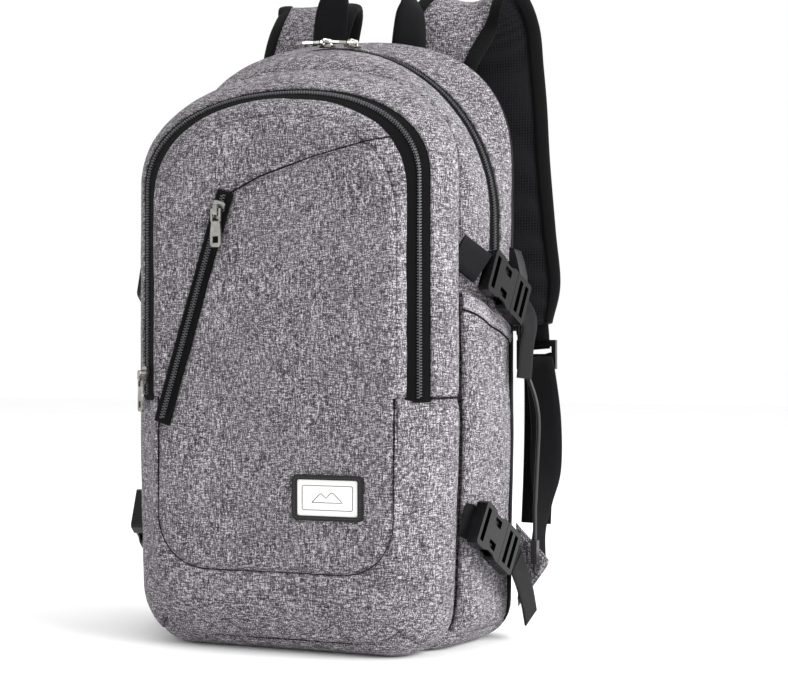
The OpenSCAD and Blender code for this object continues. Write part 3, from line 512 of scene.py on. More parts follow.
SECTIONS = np.array([
    [-77, 89.5, 0, 56, 300, 385, 2.3, 45], [-75.4, 96.5, 0, 40, 312, 398, 2.3, 48],
    [-69, 103, 0, 22, 340, 410.5, 2.25, 50], [-58, 117, 2, 7, 350, 419.5, 2.2, 46],
    [-46, 126, 6, 1, 354, 430, 2.2, 40], [-34, 129, 8, 0, 356, 437, 2.2, 36],
    [-22, 126.5, 6, 0, 358, 440, 2.2, 34], [-20, 123.5, 6, 0, 358, 437, 2.2, 34],
    [-18, 127, 6, 0, 356, 441, 2.2, 33], [-8, 134.5, 5, 0, 335, 452.5, 2.1, 31],
    [6, 138, 4, 0, 327, 460, 2.05, 30], [17, 138.8, 3, 0, 325, 463.8, 2, 28],
    [33, 143.2, 3, 0, 325, 468.2, 2, 27], [46, 144, 3, 0, 345, 473.5, 2.2, 26],
    [60, 145.5, 3, 0, 368, 478, 2.5, 25], [68, 143.5, 3, 3, 366, 476, 2.5, 25],
    [74, 138.5, 3, 9, 362, 470, 2.5, 25], [76, 131.5, 3, 16, 358, 463, 2.5, 25]])
FACE, RIM, BASE_SEAM, GUSSET_EDGE, VALLEY = -77, -75.4, -62, -58, -20
ZIP_FRONT, ZIP_REAR, REAR_EDGE, BACK = 17, 33, 60, 76
ZIP_END, MAIN_END = 190, 295
TAPE_FRONT = -68.5
DRAW_IN_HEIGHT, DRAW_IN_WIDTH = 190, 60
BASE_POINTS = 19  # points of a half outline along its flat base
LOW_COUNTS = (16, 8, 7, 12)  # columns of a low row: side, upper and lower corner, base
SEAM_COLUMN, BASE_COLUMN = sum(LOW_COUNTS[:2]) - 1, sum(LOW_COUNTS[:3])


def monotone_slopes(x, y):
    h = np.diff(x)[:, None]
    d = np.diff(y, axis=0) / h
    m = np.zeros_like(y)
    same = d[:-1] * d[1:] > 0
    w1, w2 = 2 * h[1:] + h[:-1], h[1:] + 2 * h[:-1]
    safe = lambda v: np.where(np.abs(v) < 1e-12, 1e-12, v)
    m[1:-1] = np.where(same, (w1 + w2) / (w1 / safe(d[:-1]) + w2 / safe(d[1:])), 0)
    m[0], m[-1] = d[0], d[-1]
    return m


SLOPES = monotone_slopes(SECTIONS[:, 0], SECTIONS)


def section(y):
    x = SECTIONS[:, 0]
    i = int(np.clip(np.searchsorted(x, y) - 1, 0, len(x) - 2))
    h = x[i + 1] - x[i]
    t = (y - x[i]) / h
    value = ((2 * t ** 3 - 3 * t ** 2 + 1) * SECTIONS[i] + (t ** 3 - 2 * t ** 2 + t) * h * SLOPES[i]
             + (3 * t ** 2 - 2 * t ** 3) * SECTIONS[i + 1] + (t ** 3 - t ** 2) * h * SLOPES[i + 1])
    value[0] = y
    return value


def dense_half(s, inset=0.0):
    """Bottom centre to top centre of the right half outline."""
    w, low, spring, top, n = s[1] - inset, s[3] + inset, s[4], s[5] - inset, s[6]
    r = max(s[7] - inset, 4)
    a = np.radians(np.linspace(-90, 0, 40))
    b = np.radians(np.linspace(0, 90, 240))
    x = np.concatenate([np.linspace(0, w - r, BASE_POINTS + 1)[:-1], w - r + r * np.cos(a), np.full(60, w),
                        w * np.maximum(np.cos(b), 0) ** (2 / n)])
    z = np.concatenate([np.full(BASE_POINTS, low), low + r + r * np.sin(a),
                        np.linspace(low + r, spring, 62)[1:-1], spring + (top - spring) * np.sin(b) ** (2 / n)])
    k = np.maximum(0, (DRAW_IN_HEIGHT - z) / DRAW_IN_HEIGHT)
    return np.stack([x - s[2] * k * k * np.minimum(1, np.abs(x) / DRAW_IN_WIDTH), z], axis=1)


def resample(path, start, end, n):
    return at_runs(path, run_along(path), np.linspace(start, end, n))


def length_of(path):
    return np.sum(np.linalg.norm(np.diff(path, axis=0), axis=1))


def both_sides(right):
    """A right half outline and its mirror image as one line."""
    return np.vstack([right, (right * [-1, 1])[-2::-1]])


def at_depth(outline, y):
    return np.stack([outline[:, 0], np.full(len(outline), y), outline[:, 1]], axis=1)


def run_at_height(path, z):
    return float(np.interp(z, path[BASE_POINTS:, 1], run_along(path)[BASE_POINTS:]))


def arch_row(y, inset, z0, n):
    """From the right side at z0 over the arch to the left side."""
    path = dense_half(section(y), inset)
    return at_depth(both_sides(resample(path, run_at_height(path, z0), length_of(path), n)), y)


def side_row(y, inset, z0, z1, n):
    path = dense_half(section(y), inset)
    return at_depth(resample(path, run_at_height(path, z0), run_at_height(path, z1), n), y)


def low_columns(w, low, r, draw, z_top, y, split=-50):
    """Right half, from z_top down the side, round the corner and along the base to its middle."""
    side, upper, lower, base = LOW_COUNTS
    z = np.linspace(z_top, low + r, side)
    a = np.radians(np.r_[np.linspace(0, split, upper + 1)[1:], np.linspace(split, -90, lower + 1)[1:]])
    x = np.r_[np.full(side, w), w - r + r * np.cos(a), np.linspace(w - r, 0, base + 1)[1:]]
    z = np.r_[z, low + r + r * np.sin(a), np.full(base, low)]
    k = np.maximum(0, (DRAW_IN_HEIGHT - z) / DRAW_IN_HEIGHT)
    x = x - draw * k * k * np.minimum(1, x / DRAW_IN_WIDTH)
    return np.stack([x, np.full(len(x), y), z], axis=1)


def low_row(y, z_top, part="loop"):
    s = section(y)
    if part == "base":
        split = float(np.interp(y, [VALLEY - 4, VALLEY + 1], [-50, -30]))
        right = low_columns(s[1], s[3], s[7], s[2], z_top, y, split)[SEAM_COLUMN:]
    else:
        right = low_columns(s[1], s[3], s[7], s[2], z_top, y)
    return np.vstack([right, mirrored(right)[-2::-1]])


def rows(y0, y1, step=2.6):
    """Depths from y0 to y1, with every section's own depth among them."""
    marks = [y0] + [y for y in SECTIONS[:, 0] if y0 + 0.3 < y < y1 - 0.3] + [y1]
    out = [y0]
    for a, b in zip(marks[:-1], marks[1:]):
        count = max(1, int(round((b - a) / step)))
        out += list(np.linspace(a, b, count + 1)[1:])
    return out


BAG = "bag"

# ---- gussets, base and back

N_ARCH = 110
cloth_sheet("front_gusset_cloth", [arch_row(y, 0, ZIP_END, N_ARCH) for y in rows(GUSSET_EDGE, VALLEY)],
            BAG, replaces=["front_gusset"], seams="b01")
cloth_sheet("mid_gusset_cloth", [arch_row(y, 0, MAIN_END, N_ARCH) for y in rows(VALLEY, ZIP_FRONT)],
            BAG, replaces=["mid_gusset"], seams="a")
cloth_sheet("rear_gusset_cloth", [arch_row(y, 0, MAIN_END, N_ARCH) for y in rows(ZIP_REAR, REAR_EDGE)],
            BAG, replaces=["rear_gusset"], seams="b")
cloth_sheet("base_cloth", [low_row(y, ZIP_END, "base") for y in rows(BASE_SEAM, REAR_EDGE, 4)],
            BAG, replaces=["base_panel"], out=1, seams="ab01", size=0.5)


def closed_rows(ys):
    out = []
    for y in ys:
        path = dense_half(section(y))
        out.append(at_depth(both_sides(resample(path, 0, length_of(path), 130))[:-1], y))
    return out


back_rows = closed_rows(rows(REAR_EDGE, BACK, 2.6))
rim = back_rows[-1]
centre = np.array([0, BACK, 240.0])
for share in (0.94, 0.86, 0.75, 0.6, 0.42, 0.22, 0.07, 0.001):
    row = centre + (rim - centre) * share
    row[:, 1] = BACK - 0.2
    back_rows.append(row)
back_rows = [np.vstack([row, row[:1]]) for row in back_rows]
cloth_sheet("back_cloth", back_rows, BAG, "mesh", replaces=["back_panel"],
            seams="a", size=0.6)

# ---- front pocket

U_HALF, U_LOW, U_RADIUS = 94.5, 62, 40


def lower_front_rows():
    """From the U-shaped seam outward over the rounded rim and back to the valley."""
    def u_row(share):
        s = section(RIM)
        inner = low_columns(U_HALF, U_LOW, U_RADIUS, 0, ZIP_END, FACE)
        outer = low_columns(s[1], s[3], s[7], 0, ZIP_END, RIM)
        row = inner + (outer - inner) * share
        row[:, 1] = FACE + 0.5 + (RIM - FACE - 0.5) * share ** 2
        rise = np.clip((row[:, 2] - 104) / 60, 0, 1)
        row[:, 1] += (RIM - 0.4 - row[:, 1]) * rise * (1 - share)
        return np.vstack([row, mirrored(row)[-2::-1]])
    out = [u_row(share) for share in (0, 0.12, 0.25, 0.4, 0.6, 0.8)]
    return out + [low_row(y, ZIP_END) for y in rows(RIM, VALLEY, 2.4)]


front_rows = lower_front_rows()
columns = len(front_rows[0])


def on_lower_front(i, j):
    base = SEAM_COLUMN <= j < columns - SEAM_COLUMN - 1
    return not base or front_rows[i + 1][0][1] <= BASE_SEAM + 0.2


cloth_sheet("lower_front_cloth", front_rows, BAG, out=1, seams="ab01", keep=on_lower_front,
            replaces=["front_lower_panel"], size=1.1)

DIAG_TOP, DIAG_END, CROSS_END = np.array([-38.0, 342]), np.array([-91.0, 170]), np.array([104.0, 380])
SLOT_HALF = 6.5
along = (DIAG_END - DIAG_TOP) / np.linalg.norm(DIAG_END - DIAG_TOP)
beside = np.array([-along[1], along[0]])
beside = beside if beside[0] > 0 else -beside
DIAG_LENGTH = float(np.linalg.norm(DIAG_END - DIAG_TOP))


def polyline(points, step=2.5):
    points = np.array(points, float)
    run = run_along(points)
    return at_runs(points, run, np.linspace(0, run[-1], max(2, int(run[-1] / step))))


def distance_to(points, line):
    a, b = line[:-1], line[1:]
    d = b - a
    out = np.full(len(points), 1e9)
    for k in range(len(a)):
        t = np.clip(((points - a[k]) @ d[k]) / max(d[k] @ d[k], 1e-9), 0, 1)
        out = np.minimum(out, np.linalg.norm(points - a[k] - t[:, None] * d[k], axis=1))
    return out


rim_arch = arch_row(RIM, 0, ZIP_END, 90)[:, [0, 2]]
u_right = low_columns(U_HALF, U_LOW, U_RADIUS, 0, ZIP_END, FACE)[:, [0, 2]]
u_line = both_sides(u_right)
face_loop = polyline(np.vstack([rim_arch, u_line[::-1]]))
CROSS_BEND = (70, 373.5)
cross_line = polyline([DIAG_TOP + beside * 3, (-10, 352.5), (30, 364.5), CROSS_BEND, CROSS_END])
slot_line = polyline([DIAG_TOP - beside * SLOT_HALF, DIAG_TOP + beside * SLOT_HALF,
                      DIAG_END + beside * SLOT_HALF, DIAG_END - beside * SLOT_HALF,
                      DIAG_TOP - beside * SLOT_HALF])


def inside(points, loop):
    x, z = points[:, 0], points[:, 1]
    hit = np.zeros(len(points), bool)
    for a, b in zip(loop, np.roll(loop, -1, axis=0)):
        crosses = (a[1] > z) != (b[1] > z)
        if abs(b[1] - a[1]) > 1e-9:
            hit ^= crosses & (x < (b[0] - a[0]) * (z - a[1]) / (b[1] - a[1]) + a[0])
    return hit


def face_depth(points, seam_lines):
    """Depth of the padded front face at points given by x and z."""
    shadow = distance_to(points, face_loop)
    y = FACE + (RIM - FACE) * np.clip(1 - shadow / 8, 0, 1) ** 2
    for line in seam_lines:
        near = distance_to(points, line)
        y += 1.2 * np.exp(-(near / 2.2) ** 2) + 0.35 * np.exp(-(near / 8.0) ** 2)
    lower = np.clip((ZIP_END - points[:, 1]) / 12, 0, 1)
    return y + lower * 1.1 * np.exp(-(shadow / 2.2) ** 2)


def front_face():
    grid = np.array([(x + (2.1 if row % 2 else 0), z) for row, z in enumerate(np.arange(60, 396, 3.6))
                     for x in np.arange(-98, 98, 4.2)])
    grid = grid[inside(grid, face_loop) & (distance_to(grid, face_loop) > 2)]
    for line in (cross_line, slot_line):
        grid = grid[distance_to(grid, line) > 1.8]
    points, edges = [tuple(p) for p in grid], []
    for line, closed in ((face_loop, True), (cross_line, False), (slot_line, True)):
        base = len(points)
        line = line[:-1] if closed and np.allclose(line[0], line[-1]) else line
        points += [tuple(p) for p in line]
        edges += [(base + i, base + i + 1) for i in range(len(line) - 1)]
        if closed:
            edges.append((base + len(line) - 1, base))
    out = geometry.delaunay_2d_cdt([Vector(p) for p in points], edges, [], 0, 1e-4)
    flat = np.array([tuple(v) for v in out[0]])
    triangles = np.array([tuple(f) for f in out[2]])
    middle = flat[triangles].mean(axis=1)
    kept = inside(middle, face_loop) & ~inside(middle, slot_line)
    right_of = (middle - DIAG_TOP) @ beside > 0
    under = middle[:, 1] < np.interp(middle[:, 0], cross_line[:, 0], cross_line[:, 1])
    main = kept & ((right_of & under) | (middle[:, 1] < DIAG_END[1] - 0.5))
    for name, chosen, node in (("front_main_cloth", main, "front_panel_main"),
                               ("front_upper_cloth", kept & ~main, "front_panel_upper")):
        used = np.unique(triangles[chosen])
        index = {v: k for k, v in enumerate(used)}
        xz = flat[used]
        y = face_depth(xz, [cross_line, slot_line])
        verts = [(p[0], d + wrinkle((p[0], FACE, p[1]), 0.9), p[1]) for p, d in zip(xz, y)]
        faces = []
        for t in triangles[chosen]:
            a, b, c = (flat[v] for v in t)
            turn = (b[0] - a[0]) * (c[1] - a[1]) - (b[1] - a[1]) * (c[0] - a[0])
            t = [index[v] for v in t]
            faces.append(t if turn > 0 else t[::-1])
        obj = make(name, verts, faces, "heather", BAG, [node])
        modify(obj, "SOLIDIFY", thickness=2.2 * MM, offset=-1, use_even_offset=True)


front_face()
cloth_sheet("front_rim_cloth", [arch_row(y, 0, ZIP_END, N_ARCH) for y in rows(RIM - 0.1, TAPE_FRONT, 1.5)],
            BAG, replaces=["front_panel_main", "front_panel_upper"], seams="b01", roll=1.0, size=0.9)


def on_face(line, lift=0.0):
    line = np.array(line, float)
    depth = face_depth(line, [cross_line, slot_line]) - lift
    return [(p[0], d, p[1]) for p, d in zip(line, depth)]


cross_seen = cross_line[inside(cross_line, face_loop)]


def over_rim(y):
    """Where the cross seam, carried on, meets the rounded rim at a depth."""
    row = arch_row(y, 0.2, 330, 160)[:160]
    slope = (CROSS_END[1] - CROSS_BEND[1]) / (CROSS_END[0] - CROSS_BEND[0])
    return row[np.argmin(np.abs(row[:, 2] - CROSS_END[1] - (row[:, 0] - CROSS_END[0]) * slope))]


seam_end = [over_rim(y) for y in rows(RIM, TAPE_FRONT, 1.2)]
# Dark cords paint the shade in the U seam and the cross seam of the front.
cord_line("front_seams", [on_face(polyline(cross_seen)) + seam_end, on_face(polyline(u_line), 0.1)],
          0.55, BAG)
stitches("front_stitches", [on_face(polyline(cross_seen[1:-1]) - [0.6, 2.6], 0.9)], BAG, "thread_dark",
         radius=0.24)
# Dark cords paint the shade in the valley seams.
valley = arch_row(VALLEY, 0.9, 60, 150)
level_line = np.array([side_row(y, 0.75, ZIP_END, ZIP_END + 1, 2)[0]
                       for y in rows(GUSSET_EDGE, VALLEY)])
cord_line("valley_seams", [valley, level_line, mirrored(level_line)], 0.6, BAG)
# Dark cords paint the shade in the base seams.
low_seam = [low_columns(s[1] - 0.9, s[3] + 0.9, s[7], s[2], ZIP_END, y)[SEAM_COLUMN]
            for y in rows(-40, REAR_EDGE) for s in [section(y)]]
front_low = low_row(BASE_SEAM, ZIP_END)[BASE_COLUMN:-BASE_COLUMN] + np.array([0, 0, 0.5])
cord_line("base_seams", [low_seam, mirrored(low_seam), front_low], 0.6, BAG)

# ---- side panels and pockets

POCKET_FRONT, POCKET_REAR, POCKET_LOW, HEM = VALLEY + 2, REAR_EDGE - 1, 12, 13
HEM_FRONT_TOP, HEM_REAR_TOP = 268, 243


def hem_height(y):
    drop = HEM_REAR_TOP - HEM_FRONT_TOP
    return HEM_FRONT_TOP + drop * (y - POCKET_FRONT) / (POCKET_REAR - POCKET_FRONT)


def inset_side(y, z0, z1, n, inset):
    """A column of side points, each with its own inset."""
    out = []
    for z in np.linspace(z0, z1, n):
        path = dense_half(section(y), inset(y, z))
        x = np.interp(z, path[BASE_POINTS:, 1], path[BASE_POINTS:, 0])
        out.append((x, y, z))
    return np.array(out)


def blend_step(value, low, high):
    t = min(max((value - low) / (high - low), 0), 1)
    return t * t * (3 - 2 * t)


def pocket_rows():
    return rows(POCKET_FRONT, POCKET_REAR, 2.6)


def pocket_inset(y, z):
    """The pocket bellies out between its base and its hem, and its hem draws in."""
    belly = math.sin(math.pi * (z - POCKET_LOW) / (hem_height(y) - POCKET_LOW))
    return rear_tuck(y) - 0.4 - 1.2 * belly + 1.3 * blend_step(z, hem_height(y) - 16, hem_height(y))


def hem_inset(y, z):
    return rear_tuck(y) - 1.3 - 0.5 * math.sin(math.pi * (z - hem_height(y) + HEM) / HEM)


def rear_tuck(y):
    """How far a pocket's rear edge is tucked in, clear of the charging plug's travel."""
    return 2.6 * blend_step(y, 48, 56)


for side, flip in (("right", 1), ("left", -1)):
    def placed(grid):
        return np.array(grid) * np.array([flip, 1, 1])

    panel = [inset_side(y, POCKET_LOW, MAIN_END, 70,
                        lambda y, z: 8.6 * (1 - blend_step(z, hem_height(y) - 14, hem_height(y) + 22)))
             for y in rows(VALLEY, REAR_EDGE, 3)]
    cloth_sheet(f"side_{side}_cloth", placed(panel), BAG, out=-flip, replaces=[f"side_panel_{side}"],
                seams="ab1")
    pocket = [inset_side(y, POCKET_LOW, hem_height(y), 62, pocket_inset) for y in pocket_rows()]
    cloth_sheet(f"pocket_{side}_cloth", placed(pocket), BAG, out=-flip, thick=1.8,
                replaces=[f"side_pocket_{side}"], seams="ab0", size=1.3)
    band = [inset_side(y, hem_height(y) - HEM, hem_height(y), 9, hem_inset) for y in pocket_rows()]
    cloth_sheet(f"hem_{side}_cloth", placed(band), BAG, "heather_hem", out=-flip, thick=1.2, roll=0.5,
                replaces=[f"pocket_hem_{side}"], seams="01", size=1.3)
    lines = [[inset_side(y, hem_height(y) - drop, hem_height(y), 2, lambda y, z: rear_tuck(y) - 2.1)[0]
              * [flip, 1, 1] for y in np.linspace(POCKET_FRONT + 1, POCKET_REAR - 1, 40)]
             for drop in (11, 2.6)]
    stitches(f"hem_{side}_stitches", lines, BAG, pitch=3.0, length=2.2)
    # A thin dark strip under each pocket hem: painted shadow cast by the hem band.
    shade = [inset_side(y, hem_height(y) - HEM - 0.9, hem_height(y) - HEM + 0.6, 3,
                        lambda y, z: rear_tuck(y) - 1.0) for y in pocket_rows()]
    cloth_sheet(f"hem_{side}_edge", placed(shade), BAG, "seam", out=-flip, thick=0.8, roll=0, seams="",
                size=1.3)

# ---- zips


def zip_tape(name, rows_, replaces):
    cloth_sheet(name, rows_, BAG, "tape", replaces=replaces, thick=1.4, roll=0.5,
                seams="ab", size=0.2, lay=True)


zip_tape("front_zip_cloth", [arch_row(y, 1.0, ZIP_END - 3, 150)
                             for y in rows(TAPE_FRONT - 1.2, GUSSET_EDGE + 1.5, 1.6)], ["front_zip_tape"])
zip_tape("main_zip_cloth", [arch_row(y, 1.0, MAIN_END - 3, 170)
                            for y in rows(ZIP_FRONT - 1.5, ZIP_REAR + 1.5, 1.6)], ["main_zip_tape"])


def teeth(name, line, outward, across, replaces, pitch=2.1):
    """Two interlocking rows of moulded teeth along a line."""
    line = np.array(line, float)
    run = run_along(line)
    outward, across = np.array(outward, float), np.array(across, float)
    verts, faces = [], []
    for k in range(int(run[-1] / pitch)):
        s = (k + 0.5) * pitch
        p, o, a = (point_at(table, run, s) for table in (line, outward, across))
        o, a = o / np.linalg.norm(o), a / np.linalg.norm(a)
        t = np.cross(o, a)
        for sign, lead in ((-1, -0.25), (1, 0.25)):
            base = len(verts)
            for x in (0.35, 2.45):
                tip = 1.25 - 0.25 * (x > 1)
                for y, h in ((-0.52, 0.1), (0.52, 0.1), (0.38, tip), (-0.38, tip)):
                    verts.append(p + a * (sign * x - 0.5 * sign) + t * (y + lead * pitch) + o * h)
            quads = [(0, 1, 2, 3), (7, 6, 5, 4), (0, 4, 5, 1), (1, 5, 6, 2), (2, 6, 7, 3), (3, 7, 4, 0)]
            quads = [q if sign > 0 else q[::-1] for q in quads]
            faces += [tuple(base + v for v in q) for q in quads]
    # The teeth's grey finish is a painted highlight on a black coil.
    return make(name, verts, faces, "teeth", BAG, replaces, smooth=False)


def zip_line(y, z0, n, half_gap):
    mid = arch_row(y, 0.9, z0, n)
    front, rear = arch_row(y - half_gap, 0.9, z0, n), arch_row(y + half_gap, 0.9, z0, n)
    across = rear - front
    tangent = np.gradient(mid, axis=0)
    outward = np.cross(tangent, across)
    outward /= np.linalg.norm(outward, axis=1, keepdims=True)
    middle = np.array([0, y, 250.0])
    if np.sum((mid[n // 2] - middle) * outward[n // 2]) < 0:
        outward = -outward
    return mid, outward, across


teeth("front_zip_coil", *zip_line(-63.3, ZIP_END, 200, 2), ["front_zip_teeth"])
teeth("main_zip_coil", *zip_line(25, MAIN_END, 220, 2), ["main_zip_teeth"])

tape_y = FACE - 0.6
tape_grid = [[(*(DIAG_TOP + along * s + beside * w), tape_y) for w in np.linspace(-6.6, 6.6, 9)]
             for s in np.linspace(-0.5, DIAG_LENGTH, 60)]
tape_grid = [[(p[0], p[2] + 0.5, p[1]) for p in row] for row in tape_grid]
cloth_sheet("diagonal_zip_cloth", tape_grid, BAG, "tape", thick=1.2, roll=0.7,
            replaces=["diagonal_zip_tape"], seams="01", size=0.1, lay=True)
diag_line = [(*(DIAG_TOP + along * s),) for s in np.linspace(2, DIAG_LENGTH - 2, 80)]
teeth("diagonal_zip_coil", [(p[0], tape_y + 0.2, p[1]) for p in diag_line], [(0, -1, 0)] * 80,
      [(beside[0], 0, beside[1])] * 80, ["diagonal_zip_teeth"])

for node in NODES:
    if "slider" in node or "_pull" in node:
        keep_node(node, "nickel", 0.25)

# ---- label

keep_node("label_frame", "rubber", 0.7)
keep_node("label_plate", "plate", 0.3)
LABEL_X, LABEL_Z = 45, 118


def label_loop(half_w, half_h, r, y):
    out = []
    for cx, cz, a0 in ((1, 1, 0), (-1, 1, 90), (-1, -1, 180), (1, -1, 270)):
        for a in np.radians(np.linspace(a0, a0 + 90, 6)):
            out.append((LABEL_X + cx * (half_w - r) + r * math.cos(a), y,
                        LABEL_Z + cz * (half_h - r) + r * math.sin(a)))
    return out + out[:1]


stitches("label_stitches", [label_loop(25.6, 14.6, 3, FACE - 2.45)], BAG, "thread_dark", 2.1, 1.5, 0.22)

peaks = [(-12, -3.4), (-5, 3.6), (-1.2, -0.4), (3.4, 4.6), (12, -3.4), (-12, -3.4)]
cord_line("label_motif", [label_loop(19.6, 8.8, 1.2, FACE - 1.5),
                          polyline([(LABEL_X + x, FACE - 1.5, LABEL_Z + z) for x, z in peaks])], 0.24, BAG,
          "thread_dark")

# ---- shoulder straps

RIGHT_PAD = [[66, 88, 420], [70, 88, 448], [76, 90, 474], [86, 95, 496], [97, 106, 510], [106, 121, 508],
             [112, 133, 490], [115, 138, 462], [118, 138, 427], [122, 136, 380], [130, 132, 320],
             [139, 128, 275], [145, 124, 245]]
RIGHT_ACROSS = [[1, 0, 0], [1, 0, 0], [1, 0.05, -0.1], [1, 0.15, -0.1], [1, 0.2, 0.05], [1, 0.15, 0.15],
                [1, 0.05, 0.1], [1, 0, 0.05], [1, 0, 0], [1, 0, 0], [1, 0, 0.1], [1, 0, 0.1], [1, 0, 0.1]]
LEFT_PAD = [[-58, 88, 420], [-54, 88, 448], [-48, 90, 476], [-42, 95, 500], [-40, 106, 517], [-44, 121, 518],
            [-52, 133, 498], [-62, 138, 464], [-74, 138, 427], [-88, 136, 380], [-104, 132, 320],
            [-116, 128, 275], [-122, 124, 245]]
PAD_HALF = [30, 33, 36, 37, 37, 37, 37, 36, 36, 35, 33, 29, 17]
PAD_THICK = 9


def pillow(sign, thick, n=15, shadow=0.93):
    """Half of a padded strap's profile: its face, crowned, from edge to edge."""
    outer = [(x, sign * (0.6 + (thick / 2 - 0.6) * (1 - abs(x / shadow) ** 3.2) ** 0.6))
             for x in np.linspace(-shadow, shadow, n)]
    inner = [(x, 0.0) for x in np.linspace(shadow, -shadow, 5)]
    loop = outer + inner
    return loop if sign < 0 else loop[::-1]


def edge_binding(sign, thick):
    """Binding that wraps one edge of a pad, as shares of the half width."""
    t = thick / 2
    points = [(0.70, t * 0.93), (0.78, t * 0.9), (0.88, t * 0.76), (0.96, t * 0.5), (1.0, t * 0.15),
              (1.0, -t * 0.15), (0.96, -t * 0.5), (0.88, -t * 0.76), (0.78, -t * 0.9), (0.70, -t * 0.93)]
    inner = [(0.70, -t * 0.62), (0.9, -t * 0.2), (0.9, t * 0.2), (0.70, t * 0.62)]
    loop = [(sign * x, h) for x, h in points + inner]
    return loop[::-1] if sign > 0 else loop


for side, path, across in (("right", RIGHT_PAD, RIGHT_ACROSS), ("left", LEFT_PAD, [[1, 0, 0]] * 13)):
    frames = strap_frames(path, across, PAD_HALF, 110)
    node = f"shoulder_pad_{side}"
    outer = sweep(f"{node}_face", frames, pillow(-1, PAD_THICK - 0.6), BAG, "heather",
                  [node])
    inner = sweep(f"{node}_lining", frames, pillow(1, PAD_THICK - 0.6), BAG, "mesh", [node])
    edges = [sweep(f"{node}_edge", frames, edge_binding(s, PAD_THICK + 0.8), BAG, "binding",
                   [node]) for s in (-1, 1)]
    joined(f"{node}_binding", edges)

WEB_ACROSS = [[1, 0, 0], [1, 0, 0], [1, 0.1, 0], [1, 0.3, 0], [0.7, 0.6, 0.2], [0.4, 0.8, 0.3],
              [0.6, 0.6, -0.6]]
WEB_HALF = [12.5, 12.5, 12.5, 12.5, 9, 7, 9]
RIGHT_WEB = [[149.5, 119.5, 220], [154, 113, 208], [160, 108, 170], [161, 104, 130], [160, 98, 105],
             [159, 90, 80], [160, 80, 60]]
RIGHT_TAIL = [[149, 124, 221], [151, 121, 200], [152, 117, 160], [152, 113, 120], [151, 111, 84]]
LEFT_WEB = [[-126.5, 119.5, 220], [-131, 113, 208], [-144, 108, 170], [-152, 104, 130], [-156, 98, 105],
            [-159, 90, 80], [-160, 80, 60]]
LEFT_TAIL = [[-126, 124, 221], [-130, 121, 200], [-136, 117, 160], [-139, 113, 120], [-140, 111, 86]]
for side, web, tail, sign in (("right", RIGHT_WEB, RIGHT_TAIL, 1), ("left", LEFT_WEB, LEFT_TAIL, -1)):
    lie = [[a[0], sign * a[1], sign * a[2]] for a in WEB_ACROSS]
    node = f"shoulder_webbing_{side}"
    webbing(f"{node}_strap", web, lie, WEB_HALF, BAG, replaces=[node], steps=90)
    webbing(f"{node}_tail", tail, [[1, 0, 0]] * 5, [12.5] * 5, BAG, replaces=[node], steps=60)
    keep_node(f"ladder_lock_{side}", "plastic", 0.8)
    x = 147 if sign > 0 else -124
    webbing(f"{node}_hinge", [[x - 3 * sign, 125.4, 262], [x - 1.4 * sign, 124.4, 250], [x, 123, 238],
                              [x + sign, 122, 226]], [[1, 0, 0.1 * sign]] * 4, [12.3] * 4, BAG, steps=24)

# ---- haul loop

LOOP = [[-14, 68, 466], [-13, 68, 494], [-10, 68, 512], [-3, 68, 526], [8, 68, 534], [22, 68, 537],
        [37, 68, 534], [49, 68, 526], [56, 68, 512], [57, 68, 496], [55, 68, 462]]
LOOP_ACROSS = [[1, 0, 0], [1, 0.1, 0], [1, 0.35, 0], [0.5, 0.8, 0.5], [0.2, 1, 0.1], [0, 1, 0],
               [0, 1, 0], [0, 1, 0], [0.3, 1, 0], [1, 0.6, 0], [1, 0, 0]]
LOOP_HALF = [15, 14.5, 12.5, 10, 8.5, 8, 8, 8.5, 9.5, 12.5, 15]
webbing("haul_loop_webbing", LOOP, LOOP_ACROSS, LOOP_HALF, BODY_OF["haul_loop"], replaces=["haul_loop"],
        thick=2.6, steps=110)

# ---- compression straps

UP = [0, 0.45, 0.9]
TOP_STUB = [[125, -21.5, 299], [132, -15.5, 293], [141, -9.3, 285]]
TOP_REAR = [[157.6, 46.2, 257.6], [156.5, 48.6, 257], [152, 49.2, 258], [145, 49.2, 259.5],
            [137, 49.2, 260.5]]
TOP_TAIL = [[157.4, 45, 257.6], [159.8, 49, 253], [160.8, 53, 243], [158.6, 51.5, 228], [157, 50.3, 203]]
BOTTOM_STUB = [[127.5, -19, 100], [131, -18, 99], [136.5, -17, 96.5]]
BOTTOM_REAR = [[155.5, 26, 66], [157, 36, 58], [154.5, 54, 46], [150, 63, 40]]
BOTTOM_TAIL = [[156.5, 28, 64], [158.5, 38, 50], [160, 48, 34], [161, 55, 17]]
TOP_WAYS = ([[0, 0.1, 1], [0.15, 0.3, 0.95], [0.33, 0.45, 0.9]], [UP, UP] + [[0, 0.2, 0.98]] * 3,
            [[0, 0.6, 0.8]] + [[0.2, 0.9, 0.1]] * 4)
BOTTOM_WAYS = [UP] * 3, [UP] * 4, [[0.1, 0.7, 0.6]] * 4
